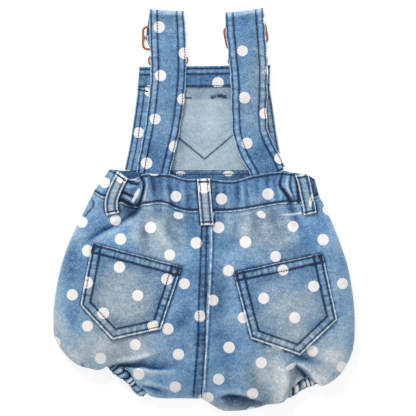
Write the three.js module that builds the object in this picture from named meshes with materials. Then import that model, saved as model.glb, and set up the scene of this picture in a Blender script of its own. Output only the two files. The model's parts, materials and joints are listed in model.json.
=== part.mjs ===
// A baby's denim dungaree romper with bubble legs, laid out flat on its front, so that its back faces up.
// Millimetres, +Z up and +Y towards the shoulder straps. Z = 0 is the surface that the romper lies on,
// and the origin is the middle of the room that it takes there.
import * as THREE from "three";

// Cloth and metal, in their real thicknesses
const DENIM = 1.2;
const WAISTBAND = 2;
const STRAP = 1.6;
const FACING = 1;
const WIRE = 2;
const SEAM_GAP = 0.3;

// Heights above the surface below
const SIDE_SEAM_HEIGHT = 9;
const BIB_REST = DENIM + SEAM_GAP;
const WIRE_HEIGHT = STRAP + SEAM_GAP + WIRE / 2;
const BIB_OVER_BUTTON = WIRE_HEIGHT + WIRE / 2 + SEAM_GAP;
const STRAP_ON_BIB = DENIM + SEAM_GAP + FACING + SEAM_GAP + STRAP;

const COLOURS = {
  denim: { color: 0x6f97bf, roughness: 0.9, metalness: 0 },
  inside: { color: 0xa9bccb, roughness: 0.92, metalness: 0 },
  copper: { color: 0xc98263, roughness: 0.3, metalness: 1 },
};

// Back waistband from the left side to the right one: a row for each gather of the elastic casing.
// top is its upper edge, low the seam to the seat, and the heights are those of the cloth's outer face.
const BACK_WAISTBAND = [
  { topX: -94, topY: 41, topZ: 5, lowX: -111, lowY: 17.5, lowZ: 5 },
  { topX: -89, topY: 39, topZ: 9, lowX: -105, lowY: 13.5, lowZ: 9 },
  { topX: -84, topY: 36.5, topZ: 11, lowX: -98, lowY: 11, lowZ: 11 },
  { topX: -79, topY: 33, topZ: 12, lowX: -90, lowY: 8.5, lowZ: 12.5 },
  { topX: -74.5, topY: 30, topZ: 12, lowX: -82, lowY: 6, lowZ: 12.5 },
  { topX: -70.5, topY: 30.5, topZ: 11.5, lowX: -74.5, lowY: 3, lowZ: 10 },
  { topX: -66.5, topY: 32, topZ: 12, lowX: -67.5, lowY: 2, lowZ: 9.5 },
  { topX: -62, topY: 35, topZ: 13.5, lowX: -61, lowY: 4, lowZ: 14 },
  { topX: -56, topY: 36, topZ: 14, lowX: -54, lowY: 5, lowZ: 16 },
  { topX: -49, topY: 35.5, topZ: 13, lowX: -46, lowY: 6, lowZ: 14.5 },
  { topX: -41, topY: 35.7, topZ: 14, lowX: -38, lowY: 5, lowZ: 16 },
  { topX: -33, topY: 35, topZ: 13, lowX: -29, lowY: 1, lowZ: 14.5 },
  { topX: -26, topY: 32.5, topZ: 14.5, lowX: -21, lowY: -1.5, lowZ: 16 },
  { topX: -18, topY: 30.5, topZ: 13.5, lowX: -14, lowY: -2.6, lowZ: 15 },
  { topX: -9, topY: 30.5, topZ: 14.5, lowX: -6, lowY: -2.6, lowZ: 16 },
  { topX: 5, topY: 31, topZ: 14.5, lowX: 6.5, lowY: -2.6, lowZ: 16 },
  { topX: 14, topY: 29.5, topZ: 13.3, lowX: 15, lowY: -2.6, lowZ: 14.5 },
  { topX: 23, topY: 28.7, topZ: 14.5, lowX: 23, lowY: -2.5, lowZ: 16 },
  { topX: 31, topY: 29, topZ: 13.3, lowX: 31, lowY: -1.8, lowZ: 14.5 },
  { topX: 39, topY: 31, topZ: 14.5, lowX: 39, lowY: -0.8, lowZ: 16 },
  { topX: 47.5, topY: 33.6, topZ: 13.5, lowX: 47, lowY: 0.5, lowZ: 15 },
  { topX: 56, topY: 35, topZ: 14.5, lowX: 55, lowY: 2, lowZ: 16 },
  { topX: 64, topY: 36.5, topZ: 13.5, lowX: 63, lowY: 3.3, lowZ: 15 },
  { topX: 71.5, topY: 37.5, topZ: 14, lowX: 71, lowY: 4.7, lowZ: 15.5 },
  { topX: 77, topY: 38, topZ: 13.5, lowX: 78.5, lowY: 5.7, lowZ: 15 },
  { topX: 82, topY: 37.5, topZ: 11.5, lowX: 85, lowY: 6.5, lowZ: 10.5 },
  { topX: 87, topY: 37, topZ: 12.5, lowX: 91, lowY: 6, lowZ: 14 },
  { topX: 93, topY: 36.5, topZ: 12.5, lowX: 98, lowY: 7, lowZ: 14 },
  { topX: 99, topY: 35.5, topZ: 11, lowX: 104, lowY: 8.5, lowZ: 12.5 },
  { topX: 105, topY: 34, topZ: 9, lowX: 110, lowY: 11, lowZ: 9.5 },
  { topX: 111, topY: 30.5, topZ: 5, lowX: 115.5, lowY: 13.5, lowZ: 5 },
];
const WAISTBAND_PUFF = 1.4;

// Seams of the seat: the middle seam, and each side from the waist to the turn under the bubble
const CENTRE_SEAM = [
  { x: 6.5, y: -3 },
  { x: 6.5, y: -28 },
  { x: 6, y: -53 },
  { x: 4, y: -91 },
  { x: 1.5, y: -136 },
  { x: -1.5, y: -189.5 },
];
const LEFT_SIDE = [
  { x: -111, y: 17 },
  { x: -119, y: 1 },
  { x: -128, y: -17 },
  { x: -136, y: -35 },
  { x: -143, y: -56 },
  { x: -148, y: -79 },
  { x: -150.7, y: -99 },
  { x: -151, y: -116 },
  { x: -149.8, y: -127 },
  { x: -147, y: -134 },
];
const RIGHT_SIDE = [
  { x: 115.5, y: 13 },
  { x: 122, y: 1 },
  { x: 130, y: -17 },
  { x: 138, y: -38 },
  { x: 144, y: -57 },
  { x: 148, y: -78 },
  { x: 150.4, y: -97 },
  { x: 151, y: -116 },
  { x: 150.6, y: -129 },
  { x: 149, y: -141 },
];

// Lower edge of each half of the seat, from the side to the middle seam. The cloth turns under at foldZ,
// and its hem ends inwards from there, at hemZ, on the leg casing or on the front of the crotch.
const LEFT_LOWER_EDGE = [
  { x: -147, y: -134, foldZ: 10, inwards: 0.6, hemZ: 9.4 },
  { x: -139, y: -144.5, foldZ: 12.5, inwards: 3.5, hemZ: 9 },
  { x: -127, y: -155, foldZ: 15, inwards: 6, hemZ: 11.8 },
  { x: -114, y: -159, foldZ: 15.5, inwards: 6, hemZ: 11.8 },
  { x: -105, y: -160.5, foldZ: 15.5, inwards: 5, hemZ: 11.8 },
  { x: -97, y: -157, foldZ: 15, inwards: 3.5, hemZ: 11.8 },
  { x: -91, y: -155.5, foldZ: 14.5, inwards: 2.5, hemZ: 11.8 },
  { x: -83, y: -156.5, foldZ: 14, inwards: 1.5, hemZ: 11.8 },
  { x: -76, y: -161, foldZ: 14, inwards: 1.5, hemZ: 11.8 },
  { x: -71.5, y: -168, foldZ: 14, inwards: 1.5, hemZ: 11.8 },
  { x: -67, y: -175, foldZ: 14, inwards: 1.5, hemZ: 11.8 },
  { x: -60, y: -180, foldZ: 14, inwards: 2, hemZ: 11.8 },
  { x: -54, y: -186.5, foldZ: 12, inwards: 3, hemZ: 7 },
  { x: -44, y: -189, foldZ: 9, inwards: 3.5, hemZ: 3.2 },
  { x: -24, y: -189.3, foldZ: 8, inwards: 3.5, hemZ: 3 },
  { x: -1.5, y: -189.5, foldZ: 8, inwards: 3.5, hemZ: 3 },
];
const RIGHT_LOWER_EDGE = [
  { x: 149, y: -141, foldZ: 10, inwards: 0.6, hemZ: 9.4 },
  { x: 144, y: -153, foldZ: 12.5, inwards: 3.5, hemZ: 9 },
  { x: 137, y: -164, foldZ: 15, inwards: 6, hemZ: 11.8 },
  { x: 128, y: -172, foldZ: 15.5, inwards: 5, hemZ: 11.8 },
  { x: 118, y: -176.5, foldZ: 15, inwards: 3.5, hemZ: 11.8 },
  { x: 111, y: -173, foldZ: 14.5, inwards: 2, hemZ: 11.8 },
  { x: 104, y: -168.5, foldZ: 14, inwards: 1.5, hemZ: 11.8 },
  { x: 97, y: -170.5, foldZ: 14, inwards: 1.5, hemZ: 11.8 },
  { x: 91, y: -175.5, foldZ: 14, inwards: 1.5, hemZ: 11.8 },
  { x: 86, y: -180.5, foldZ: 14, inwards: 2, hemZ: 11.8 },
  { x: 84, y: -187.5, foldZ: 15, inwards: 3, hemZ: 11.8 },
  { x: 79.5, y: -192.7, foldZ: 15, inwards: 3.5, hemZ: 11.8 },
  { x: 72, y: -194.7, foldZ: 14, inwards: 3.5, hemZ: 11 },
  { x: 63, y: -195.5, foldZ: 11, inwards: 3, hemZ: 6 },
  { x: 54, y: -198.5, foldZ: 9, inwards: 3.5, hemZ: 3.2 },
  { x: 44, y: -200.7, foldZ: 8, inwards: 3.5, hemZ: 3 },
  { x: 31, y: -201.9, foldZ: 8, inwards: 3.5, hemZ: 3 },
  { x: 19, y: -201.5, foldZ: 8, inwards: 3.5, hemZ: 3 },
  { x: 9, y: -196.5, foldZ: 8, inwards: 3.5, hemZ: 3 },
  { x: -1.5, y: -189.9, foldZ: 8, inwards: 3.5, hemZ: 3 },
];

// How high the seat stands from the waist seam (0) to the lower edge (1), and how round its rims are
const SEAT_CROWN = [
  { at: 0, z: 16 },
  { at: 0.12, z: 20 },
  { at: 0.3, z: 26 },
  { at: 0.55, z: 30 },
  { at: 0.78, z: 29 },
  { at: 1, z: 24 },
];
// The felled middle seam stands out as a ridge on the left half, over the last of its shares across
const SEAM_RIDGE = 0.7;
const RIDGE_SHARES = [0.935, 0.942, 1];
const SIDE_ROUNDNESS = 5;
const LOWER_ROUNDNESS = 9;
const SEAM_DIP = 3;
const SEAM_DIP_WIDTH = 20;

// Largest folds of the seat. Each runs from (x0, y0) to (x1, y1); left and right are how far it reaches
// to either hand of that line, so a steep side has a short reach, and depth is how far the cloth sinks.
const FOLDS = [
  { x0: -98, y0: -163, x1: -38, y1: -158, left: 7, right: 9, depth: 8 },
  { x0: -62, y0: -154, x1: -14, y1: -134, left: 8, right: 14, depth: 4 },
  { x0: -70, y0: -4, x1: -116, y1: -34, left: 9, right: 9, depth: 3 },
  { x0: -48, y0: -8, x1: -16, y1: -46, left: 8, right: 10, depth: 2.5 },
  { x0: 88, y0: -2, x1: 104, y1: -34, left: 9, right: 9, depth: 2.5 },
  { x0: 36, y0: -8, x1: 24, y1: -44, left: 8, right: 9, depth: 2 },
  { x0: 98, y0: -161, x1: 100, y1: -176, left: 9, right: 9, depth: 7 },
  { x0: 104, y0: -156, x1: 130, y1: -163, left: 6, right: 8, depth: 2.5 },
  { x0: 20, y0: -196, x1: 56, y1: -199, left: 5, right: 9, depth: 6 },
];

// Patch pockets of the seat, corner by corner: top inner and outer, then the two sides and the point
const LEFT_POCKET = {
  topLeft: { x: -111, y: -33.6 },
  topRight: { x: -22.3, y: -57 },
  lowRight: { x: -42.8, y: -118.6 },
  point: { x: -91.2, y: -129 },
  lowLeft: { x: -122.7, y: -95.2 },
};
const RIGHT_POCKET = {
  topLeft: { x: 29.7, y: -62.8 },
  topRight: { x: 117.7, y: -43.7 },
  lowRight: { x: 132.2, y: -109.5 },
  point: { x: 95.5, y: -144.7 },
  lowLeft: { x: 46.5, y: -127.8 },
};
const POCKET_GAP = 0.9;
const POCKET_HEM = 0.8;
const POCKET_HEM_SHARE = 0.12;

// Leg casings: each an elastic ring pressed flat, from one end of its inner rim to the other
const LEFT_CASING = { x0: -100.5, y0: -142.3, x1: -54.5, y1: -180.3 };
const RIGHT_CASING = { x0: 69.6, y0: -184.7, x1: 120.6, y1: -159.2 };
const CASING_WIDTH = 10;
const CASING_MIDDLE = 5.9;
const CASING_HALF_HEIGHT = 4.8;
const CASING_WAVES = 18;
const CASING_WAVE_HEIGHT = 0.8;

// Front of the romper, flat on the surface: its waist and lower edge
const FRONT_WAIST = [
  { x: -111, y: 17.3 },
  { x: -96, y: 9 },
  { x: -70, y: 5.5 },
  { x: 0, y: 4.5 },
  { x: 70, y: 5.5 },
  { x: 98, y: 8 },
  { x: 115.5, y: 13.3 },
];
const FRONT_CENTRE = [
  { x: 3, y: 4.2 },
  { x: 3, y: -90 },
  { x: -1.5, y: -189 },
];
const LEFT_FRONT_EDGE = [
  { x: -147, y: -134 },
  { x: -138, y: -140.5 },
  { x: -126, y: -144.5 },
  { x: -114, y: -144.5 },
  { x: -104, y: -140.5 },
  { x: -101, y: -141.5 },
  { x: -78, y: -160.5 },
  { x: -55, y: -179.5 },
  { x: -50, y: -184 },
  { x: -40, y: -187.5 },
  { x: -24, y: -189 },
  { x: -1.7, y: -189 },
];
const RIGHT_FRONT_EDGE = [
  { x: 149, y: -141 },
  { x: 142, y: -149 },
  { x: 133, y: -155 },
  { x: 123, y: -158 },
  { x: 119, y: -159.5 },
  { x: 95, y: -171.5 },
  { x: 71, y: -183.5 },
  { x: 63, y: -189.5 },
  { x: 52, y: -195 },
  { x: 38, y: -197.5 },
  { x: 20, y: -197 },
  { x: 9, y: -192.5 },
  { x: -1.3, y: -189 },
];
const FRONT_SIDE_TURN = 13;
const FRONT_BAND_TOP = [
  { x: -94, y: 40.7 },
  { x: -80, y: 38.9 },
  { x: -60, y: 38.8 },
  { x: 0, y: 38.8 },
  { x: 60, y: 38.8 },
  { x: 80, y: 38.8 },
  { x: 111, y: 30.2 },
];

// Bib, with its upper corners and sides from the top down
const BIB_LEFT = [
  { x: -64.5, y: 143 },
  { x: -66.5, y: 120 },
  { x: -71.5, y: 84 },
  { x: -74.5, y: 65 },
  { x: -79.8, y: 39.4 },
];
const BIB_RIGHT = [
  { x: 66.5, y: 145 },
  { x: 66, y: 124 },
  { x: 69, y: 103 },
  { x: 74, y: 69 },
  { x: 79.8, y: 39.4 },
];
const BIB_FACING_HEIGHT = 21;
const BIB_SIDE_FACING = 14;
const BIB_POCKET = {
  topLeft: { x: -38, y: 112 },
  topRight: { x: 38, y: 112 },
  lowRight: { x: 36, y: 78 },
  point: { x: 0.5, y: 48 },
  lowLeft: { x: -36, y: 78 },
};

// Buttons sit under the bib, and the straps' buckles hook round their shanks
const BUTTONS = { left: { x: -36, y: 129 }, right: { x: 44, y: 129 } };
const BUTTON_HEAD = 7.5;
const BUTTON_SHANK = 4;
const BUCKLE_HALF = 22;
const BUCKLE_SLOPE = 14;

// Straps: the run that shows, from the waistband up to the fold at the shoulder, and the run below it
// down to the buckle. lean is how far the strap's width turns from +X, in degrees, and rise is how high
// it stands above what it lies on.
const STRAPS = {
  left: {
    upper: [
      { x: -51.5, y: 34, rise: 5.4, lean: -12, width: 33 },
      { x: -50, y: 42, rise: 4, lean: -11, width: 33.5 },
      { x: -48, y: 52, rise: 1.8, lean: -11, width: 34 },
      { x: -45.5, y: 64, rise: 0.4, lean: -11, width: 34.5 },
      { x: -42, y: 80, rise: 0, lean: -10, width: 35 },
      { x: -39.5, y: 96, rise: 0, lean: -6, width: 35.5 },
      { x: -37.5, y: 112, rise: 0, lean: -4, width: 35.5 },
      { x: -36, y: 128, rise: 0, lean: -1, width: 35.5 },
      { x: -35.5, y: 146, rise: 0, lean: 2, width: 36 },
      { x: -36, y: 162, rise: 0, lean: 1, width: 36.5 },
      { x: -36.6, y: 180, rise: 0, lean: 0, width: 36.5 },
      { x: -37.2, y: 195.5, rise: 0, lean: -3, width: 35.5 },
    ],
    lower: [
      { x: -38, y: 192, lean: -2, width: 35.5 },
      { x: -40.5, y: 172, lean: 2, width: 35.5 },
      { x: -37, y: 159, lean: 2, width: 31 },
    ],
    slider: { x: -40.5, y: 172, lean: 0 },
    buckle: { x: -36, y: 155 },
  },
  right: {
    upper: [
      { x: 65.5, y: 34.5, rise: 5.4, lean: 30, width: 36 },
      { x: 61.5, y: 44, rise: 4, lean: 29, width: 36 },
      { x: 56, y: 54, rise: 1.8, lean: 28, width: 36 },
      { x: 50.5, y: 65, rise: 0.4, lean: 24, width: 36 },
      { x: 46.5, y: 78, rise: 0, lean: 11, width: 35.5 },
      { x: 45.2, y: 95, rise: 0, lean: 1, width: 35.5 },
      { x: 45.3, y: 112, rise: 0, lean: -1, width: 36.5 },
      { x: 45.3, y: 128, rise: 0, lean: -1, width: 37 },
      { x: 44.5, y: 146, rise: 0, lean: 3, width: 38.5 },
      { x: 43, y: 163, rise: 0, lean: 5, width: 39 },
      { x: 41.6, y: 180, rise: 0, lean: 6, width: 40 },
      { x: 40.4, y: 195.2, rise: 0, lean: 7, width: 39.5 },
    ],
    lower: [
      { x: 40.5, y: 192, lean: 8, width: 36 },
      { x: 42, y: 175, lean: 10, width: 35.5 },
      { x: 43.8, y: 159, lean: 2, width: 31 },
    ],
    slider: { x: 42, y: 175, lean: 11 },
    buckle: { x: 44, y: 155 },
  },
};
const STRAP_TURN_STEPS = 7;
const TAIL_TO_SLIDER = 1.3;
const SLIDER = { width: 44, height: 25, rail: 2.5, bar: 1.6, thick: 1.4, corner: 7 };
const BUCKLE = { width: 40, shoulder: 8, neck: 5.5, neckDrop: 18, hook: 6.2 };

// Belt loops of the back waistband, from the top edge down, with the height of each one's lower face
const BELT_LOOPS = {
  left: [
    { x: -81.5, y: 34.5, z: 12.6, lean: -38 },
    { x: -86, y: 26, z: 14.6, lean: -30 },
    { x: -90, y: 17, z: 15.4, lean: -20 },
    { x: -92.7, y: 8, z: 15, lean: -4 },
    { x: -92.5, y: 0, z: 15.4, lean: 8 },
    { x: -91, y: -4.5, z: 15.6, lean: 14 },
  ],
  centre: [
    { x: -0.5, y: 30.8, z: 15.2, lean: 2 },
    { x: 0, y: 22, z: 17.4, lean: 2 },
    { x: 1, y: 10, z: 18.4, lean: 3 },
    { x: 2, y: -2, z: 18, lean: 3 },
    { x: 2.8, y: -10, z: 18, lean: 3 },
    { x: 3.2, y: -15.5, z: 18.4, lean: 3 },
  ],
  right: [
    { x: 97.5, y: 35, z: 13.1, lean: 8 },
    { x: 100, y: 27, z: 14.6, lean: 8 },
    { x: 102, y: 17, z: 15.4, lean: 9 },
    { x: 104, y: 8, z: 15, lean: 11 },
    { x: 105.5, y: 1, z: 15.6, lean: 14 },
    { x: 106, y: -4.5, z: 16, lean: 14 },
  ],
};
const BELT_LOOP_WIDTH = 12.5;

// How finely each piece is divided
const STEPS = {
  seat: { across: 18, down: 20 },
  front: { across: 12, down: 10 },
  backBand: { along: 60, across: 4 },
  frontBand: { along: 24, across: 3 },
  casing: { around: 72, across: 2 },
  pocket: { across: 11, down: 11 },
  bib: { across: 16, down: 12 },
  facing: { along: 16, across: 2 },
  bibPocket: { across: 6, down: 6 },
  strap: { run: 24, across: 3 },
  loop: { along: 11, across: 2 },
  wire: { along: 56, round: 6 },
  button: 18,
};

const vector = (x, y, z) => new THREE.Vector3(x, y, z);
const mix = (a, b, share) => a + (b - a) * share;
const clamp = (value, low = 0, high = 1) => Math.min(high, Math.max(low, value));
const smooth = (share) => share * share * (3 - 2 * share);

// A smooth curve through a table's rows, by its named x and y, and its point at a share of its length
function seamCurve(rows, x = "x", y = "y") {
  const points = rows.map((row) => vector(row[x], row[y], 0));
  return new THREE.CatmullRomCurve3(points, false, "centripetal");
}

// A table's column between its rows, at a share from the first row (0) to the last (1)
function column(rows, name, share) {
  const place = clamp(share) * (rows.length - 1);
  const index = Math.min(Math.floor(place), rows.length - 2);
  return mix(rows[index][name], rows[index + 1][name], place - index);
}

// The same column where the rows say themselves how far along they are
function columnAt(rows, name, at) {
  const next = rows.findIndex((row) => row.at >= at);
  if (next < 1) return rows[0][name];
  const [before, after] = [rows[next - 1], rows[next]];
  return mix(before[name], after[name], smooth((at - before.at) / (after.at - before.at)));
}

// The share of its rows at which a seam curve has gone a given share of its length
const rowShare = (curve, share) => curve.getUtoTmapping(share);

// A patch between four curves, by shares: across from the side (0) to the middle (1), down from 0 to 1
function patch(top, low, side, middle) {
  return (across, down) => {
    const edge = top.getPointAt(across).lerp(low.getPointAt(across), down);
    const sides = side.getPointAt(down).lerp(middle.getPointAt(down), across);
    const corners = top.getPointAt(0).lerp(top.getPointAt(1), across);
    corners.lerp(low.getPointAt(0).lerp(low.getPointAt(1), across), down);
    return edge.add(sides).sub(corners);
  };
}

// How far the cloth sinks at a place, by the table of folds
function sink(x, y) {
  let total = 0;
  for (const fold of FOLDS) {
    const length = Math.hypot(fold.x1 - fold.x0, fold.y1 - fold.y0);
    const [dx, dy] = [(fold.x1 - fold.x0) / length, (fold.y1 - fold.y0) / length];
    const along = (x - fold.x0) * dx + (y - fold.y0) * dy;
    const aside = (x - fold.x0) * -dy + (y - fold.y0) * dx;
    const beyond = Math.max(0, -along, along - length);
    const reach = aside > 0 ? fold.left : fold.right;
    total += fold.depth * Math.exp(-((aside / reach) ** 2) - (beyond / (fold.left + fold.right)) ** 2);
  }
  return total;
}

// A surface as a grid of points: rows of the grid run across, and the last of each is at share 1
function grid(surface, across, down) {
  return Array.from({ length: down + 1 }, (_, row) =>
    Array.from({ length: across + 1 }, (_, step) => surface(step / across, row / down)),
  );
}

// The outward normals of a grid, from each point's neighbours
function gridNormals(points, wraps) {
  const rows = points.length;
  return points.map((line, row) =>
    line.map((_, step) => {
      const before = wraps ? points[(row + rows - 1) % rows] : points[Math.max(row - 1, 0)];
      const after = wraps ? points[(row + 1) % rows] : points[Math.min(row + 1, rows - 1)];
      const along = after[step].clone().sub(before[step]);
      const left = line[Math.max(step - 1, 0)];
      const right = line[Math.min(step + 1, line.length - 1)];
      return right.clone().sub(left).cross(along).normalize();
    }),
  );
}

// Two grids of the same size as one closed shell. Where it wraps, the last row joins the first.
function shell(outer, inner, wraps = false) {
  const rows = outer.length;
  const steps = outer[0].length;
  const index = (row, step, inside) => (inside ? rows * steps : 0) + (row % rows) * steps + step;
  const faces = [];
  const quad = (a, b, c, d) => faces.push(a, b, c, a, c, d);
  const lastRow = wraps ? rows : rows - 1;
  for (let row = 0; row < lastRow; row++) {
    for (let step = 0; step < steps - 1; step++) {
      quad(index(row, step), index(row, step + 1), index(row + 1, step + 1), index(row + 1, step));
      quad(
        index(row, step, true),
        index(row + 1, step, true),
        index(row + 1, step + 1, true),
        index(row, step + 1, true),
      );
    }
    quad(index(row, 0), index(row + 1, 0), index(row + 1, 0, true), index(row, 0, true));
    const end = steps - 1;
    quad(index(row, end), index(row, end, true), index(row + 1, end, true), index(row + 1, end));
  }
  for (let step = 0; !wraps && step < steps - 1; step++) {
    const end = rows - 1;
    quad(index(0, step), index(0, step, true), index(0, step + 1, true), index(0, step + 1));
    quad(index(end, step), index(end, step + 1), index(end, step + 1, true), index(end, step, true));
  }
  const geometry = new THREE.BufferGeometry();
  geometry.setFromPoints([...outer.flat(), ...inner.flat()]);
  geometry.setIndex(faces);
  return facingOut(geometry);
}

// A closed geometry with its faces turned outwards, by the sign of its volume
function facingOut(geometry) {
  const [place, index] = [geometry.getAttribute("position"), geometry.getIndex()];
  const corner = (i) => new THREE.Vector3().fromBufferAttribute(place, index.getX(i));
  let volume = 0;
  for (let i = 0; i < index.count; i += 3)
    volume += corner(i).dot(corner(i + 1).cross(corner(i + 2)));
  if (volume < 0)
    for (let i = 0; i < index.count; i += 3) {
      const held = index.getX(i);
      index.setX(i, index.getX(i + 1));
      index.setX(i + 1, held);
    }
  return geometry;
}

// A wall of cloth whose outer face is a grid, as thick as given, inwards
function wall(outer, thickness) {
  const normals = gridNormals(outer, false);
  return shell(outer, inwards(outer, normals, thickness));
}

function inwards(outer, normals, thickness) {
  return outer.map((line, row) =>
    line.map((point, step) => point.clone().addScaledVector(normals[row][step], -thickness)),
  );
}

// The wall of a panel whose rims meet its neighbours' rims. rims names them: a level rim is sewn to one
// straight below it, a square rim to one beside it. first and last are the ends of each line of the grid.
function sewnWall(outer, thickness, up, rims) {
  const normals = gridNormals(outer, false);
  const [end, low] = [outer[0].length - 1, outer.length - 1];
  if (normals[low >> 1][end >> 1].z * up < 0) normals.flat().forEach((normal) => normal.negate());
  const towards = (row, step, nextRow, nextStep) => outer[nextRow][nextStep].clone().sub(outer[row][step]);
  normals.forEach((line, row) => {
    rimNormal(line[0], rims.first, towards(row, 0, row, 1));
    rimNormal(line[end], rims.last, towards(row, end, row, end - 1));
  });
  for (let step = 1; step < end; step++) {
    rimNormal(normals[0][step], rims.top, towards(0, step, 1, step));
    rimNormal(normals[low][step], rims.low, towards(low, step, low - 1, step));
  }
  return shell(outer, inwards(outer, normals, thickness));
}

// Turns a rim's normal level, or square to a direction in plan
function rimNormal(normal, kind, direction) {
  if (kind === "level") normal.setZ(0).normalize();
  if (kind !== "square") return;
  direction.setZ(0).normalize();
  normal.addScaledVector(direction, -normal.dot(direction)).normalize();
}

const MATERIALS = Object.fromEntries(
  Object.entries(COLOURS).map(([name, look]) => [name, new THREE.MeshStandardMaterial(look)]),
);

function piece(name, geometry, finish) {
  const mesh = new THREE.Mesh(geometry, MATERIALS[finish]);
  mesh.name = name;
  return mesh;
}

// The back waistband's outer face, along from the left side (0) to the right one and across from the
// top edge (0) to the seam (1). Its middle stands out, as a casing with elastic in it does.
const bandTop = seamCurve(BACK_WAISTBAND, "topX", "topY");
const bandLow = seamCurve(BACK_WAISTBAND, "lowX", "lowY");
function backBandPoint(along, across) {
  const top = bandTop.getPoint(along);
  const low = bandLow.getPoint(along);
  top.z = column(BACK_WAISTBAND, "topZ", along);
  low.z = column(BACK_WAISTBAND, "lowZ", along);
  const point = top.lerp(low, across);
  point.z += WAISTBAND_PUFF * Math.sin(Math.PI * across) * Math.sin(Math.PI * along) ** 0.5;
  return point;
}

// The waist seam of one half of the seat, just below the waistband: its curve and its height, from the
// side (0) to the middle (1)
function waistSeam(side) {
  const middle = BACK_WAISTBAND.findIndex((row) => row.lowX > 6);
  const rows = side === "left" ? BACK_WAISTBAND.slice(0, middle + 1) : BACK_WAISTBAND.slice(middle).reverse();
  const placed = rows.map((row) => ({ x: row.lowX, y: row.lowY - SEAM_GAP, z: row.lowZ }));
  placed[placed.length - 1].x = CENTRE_SEAM[0].x;
  const curve = seamCurve(placed);
  return { curve, height: (share) => column(placed, "z", rowShare(curve, share)) };
}

// Rows of a panel lie closer towards its lower edge
const easedDown = (share) => mix(share, Math.sin((share * Math.PI) / 2), 0.55);

// From the waist (0) the seat rises to its full height (1) over a share of its length, and so does the
// side seam, straight from row to row
const belowWaist = (down) => smooth(clamp(down / 0.22));
const belowWaistAtSide = (down) => clamp(down / easedDown(0.2));

// One half of the seat as a surface. Past down = 1 the cloth turns under, to its hem at down = 1 + HEM.
const HEM = 0.16;
function seatSurface(side) {
  const turn = side === "left" ? -1 : 1;
  const waist = waistSeam(side);
  const edgeRows = side === "left" ? LEFT_LOWER_EDGE : RIGHT_LOWER_EDGE;
  const edge = seamCurve(edgeRows);
  const outline = seamCurve(side === "left" ? LEFT_SIDE : RIGHT_SIDE);
  const middle = seamCurve(CENTRE_SEAM.map((row) => ({ x: row.x + (turn * SEAM_GAP) / 2, y: row.y })));
  const plan = patch(waist.curve, edge, outline, middle);

  const over = (across, down) => {
    const ridge = side === "left" && across > RIDGE_SHARES[0] ? SEAM_RIDGE : 0;
    const point = plan(across, down);
    const rows = rowShare(edge, across);
    const rim = mix(SIDE_SEAM_HEIGHT, column(edgeRows, "foldZ", rows), down ** 3);
    const round = Math.sqrt((1 - (1 - across) ** SIDE_ROUNDNESS) * (1 - down ** LOWER_ROUNDNESS));
    const fromSeam = Math.abs(point.x - middle.getPointAt(clamp(down)).x);
    const dip = SEAM_DIP * Math.exp(-((fromSeam / SEAM_DIP_WIDTH) ** 2)) * Math.sin(Math.PI * down);
    const high = columnAt(SEAT_CROWN, "z", down) - dip - sink(point.x, point.y);
    const body = rim + (high - rim) * round;
    const risen = mix(belowWaistAtSide(down), belowWaist(down), clamp(across * 4));
    point.z = mix(waist.height(across), body, risen) + ridge * clamp(down * 20);
    return point;
  };
  return (across, down) => {
    if (down <= 1) return over(across, down);
    const share = (down - 1) / HEM;
    const rows = rowShare(edge, across);
    const point = edge.getPointAt(across);
    const along = edge.getTangentAt(across);
    const inwards = vector(-along.y, along.x, 0).multiplyScalar(turn < 0 ? 1 : -1);
    point.addScaledVector(inwards, column(edgeRows, "inwards", rows) * share ** 2);
    point.z = mix(column(edgeRows, "foldZ", rows), column(edgeRows, "hemZ", rows), share);
    return point;
  };
}

// The seat's grid: even steps over the top, closer ones towards the side and the lower edge
function seatGrid(surface) {
  const { across, down } = STEPS.seat;
  const turned = 2;
  const even = across - RIDGE_SHARES.length + 1;
  const shares = Array.from({ length: even }, (_, step) => {
    const share = step / even;
    return mix(share, 1 - Math.cos((share * Math.PI) / 2), 0.5);
  });
  return Array.from({ length: down + turned + 1 }, (_, row) =>
    [...shares, ...RIDGE_SHARES].map((share) => {
      const eased = row < down ? easedDown(row / down) : 1;
      const under = (Math.max(row - down, 0) / turned) * HEM;
      return surface(share, eased + under);
    }),
  );
}

const PANEL_RIMS = { first: "level", last: "square", top: "square" };
const SEATS = { left: seatSurface("left"), right: seatSurface("right") };

function seatPanel(side) {
  return piece(`back_${side}`, sewnWall(seatGrid(SEATS[side]), DENIM, 1, PANEL_RIMS), "denim");
}

// The point of a seat surface straight above (x, y), found by stepping towards it, and its normal there
function onSeat(surface, x, y) {
  let [across, down] = [0.5, 0.5];
  const step = 1e-3;
  for (let round = 0; round < 12; round++) {
    const at = surface(across, down);
    const [dx, dy] = [surface(across + step, down).sub(at), surface(across, down + step).sub(at)];
    const [missX, missY] = [x - at.x, y - at.y];
    const area = dx.x * dy.y - dx.y * dy.x;
    across = clamp(across + (step * (missX * dy.y - missY * dy.x)) / area, 0, 0.995);
    down = clamp(down + (step * (dx.x * missY - dx.y * missX)) / area, 0, 0.995);
  }
  const at = surface(across, down);
  const [dx, dy] = [surface(across + step, down).sub(at), surface(across, down + step).sub(at)];
  const normal = dx.cross(dy).normalize();
  return { at, normal: normal.z < 0 ? normal.negate() : normal };
}

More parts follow.
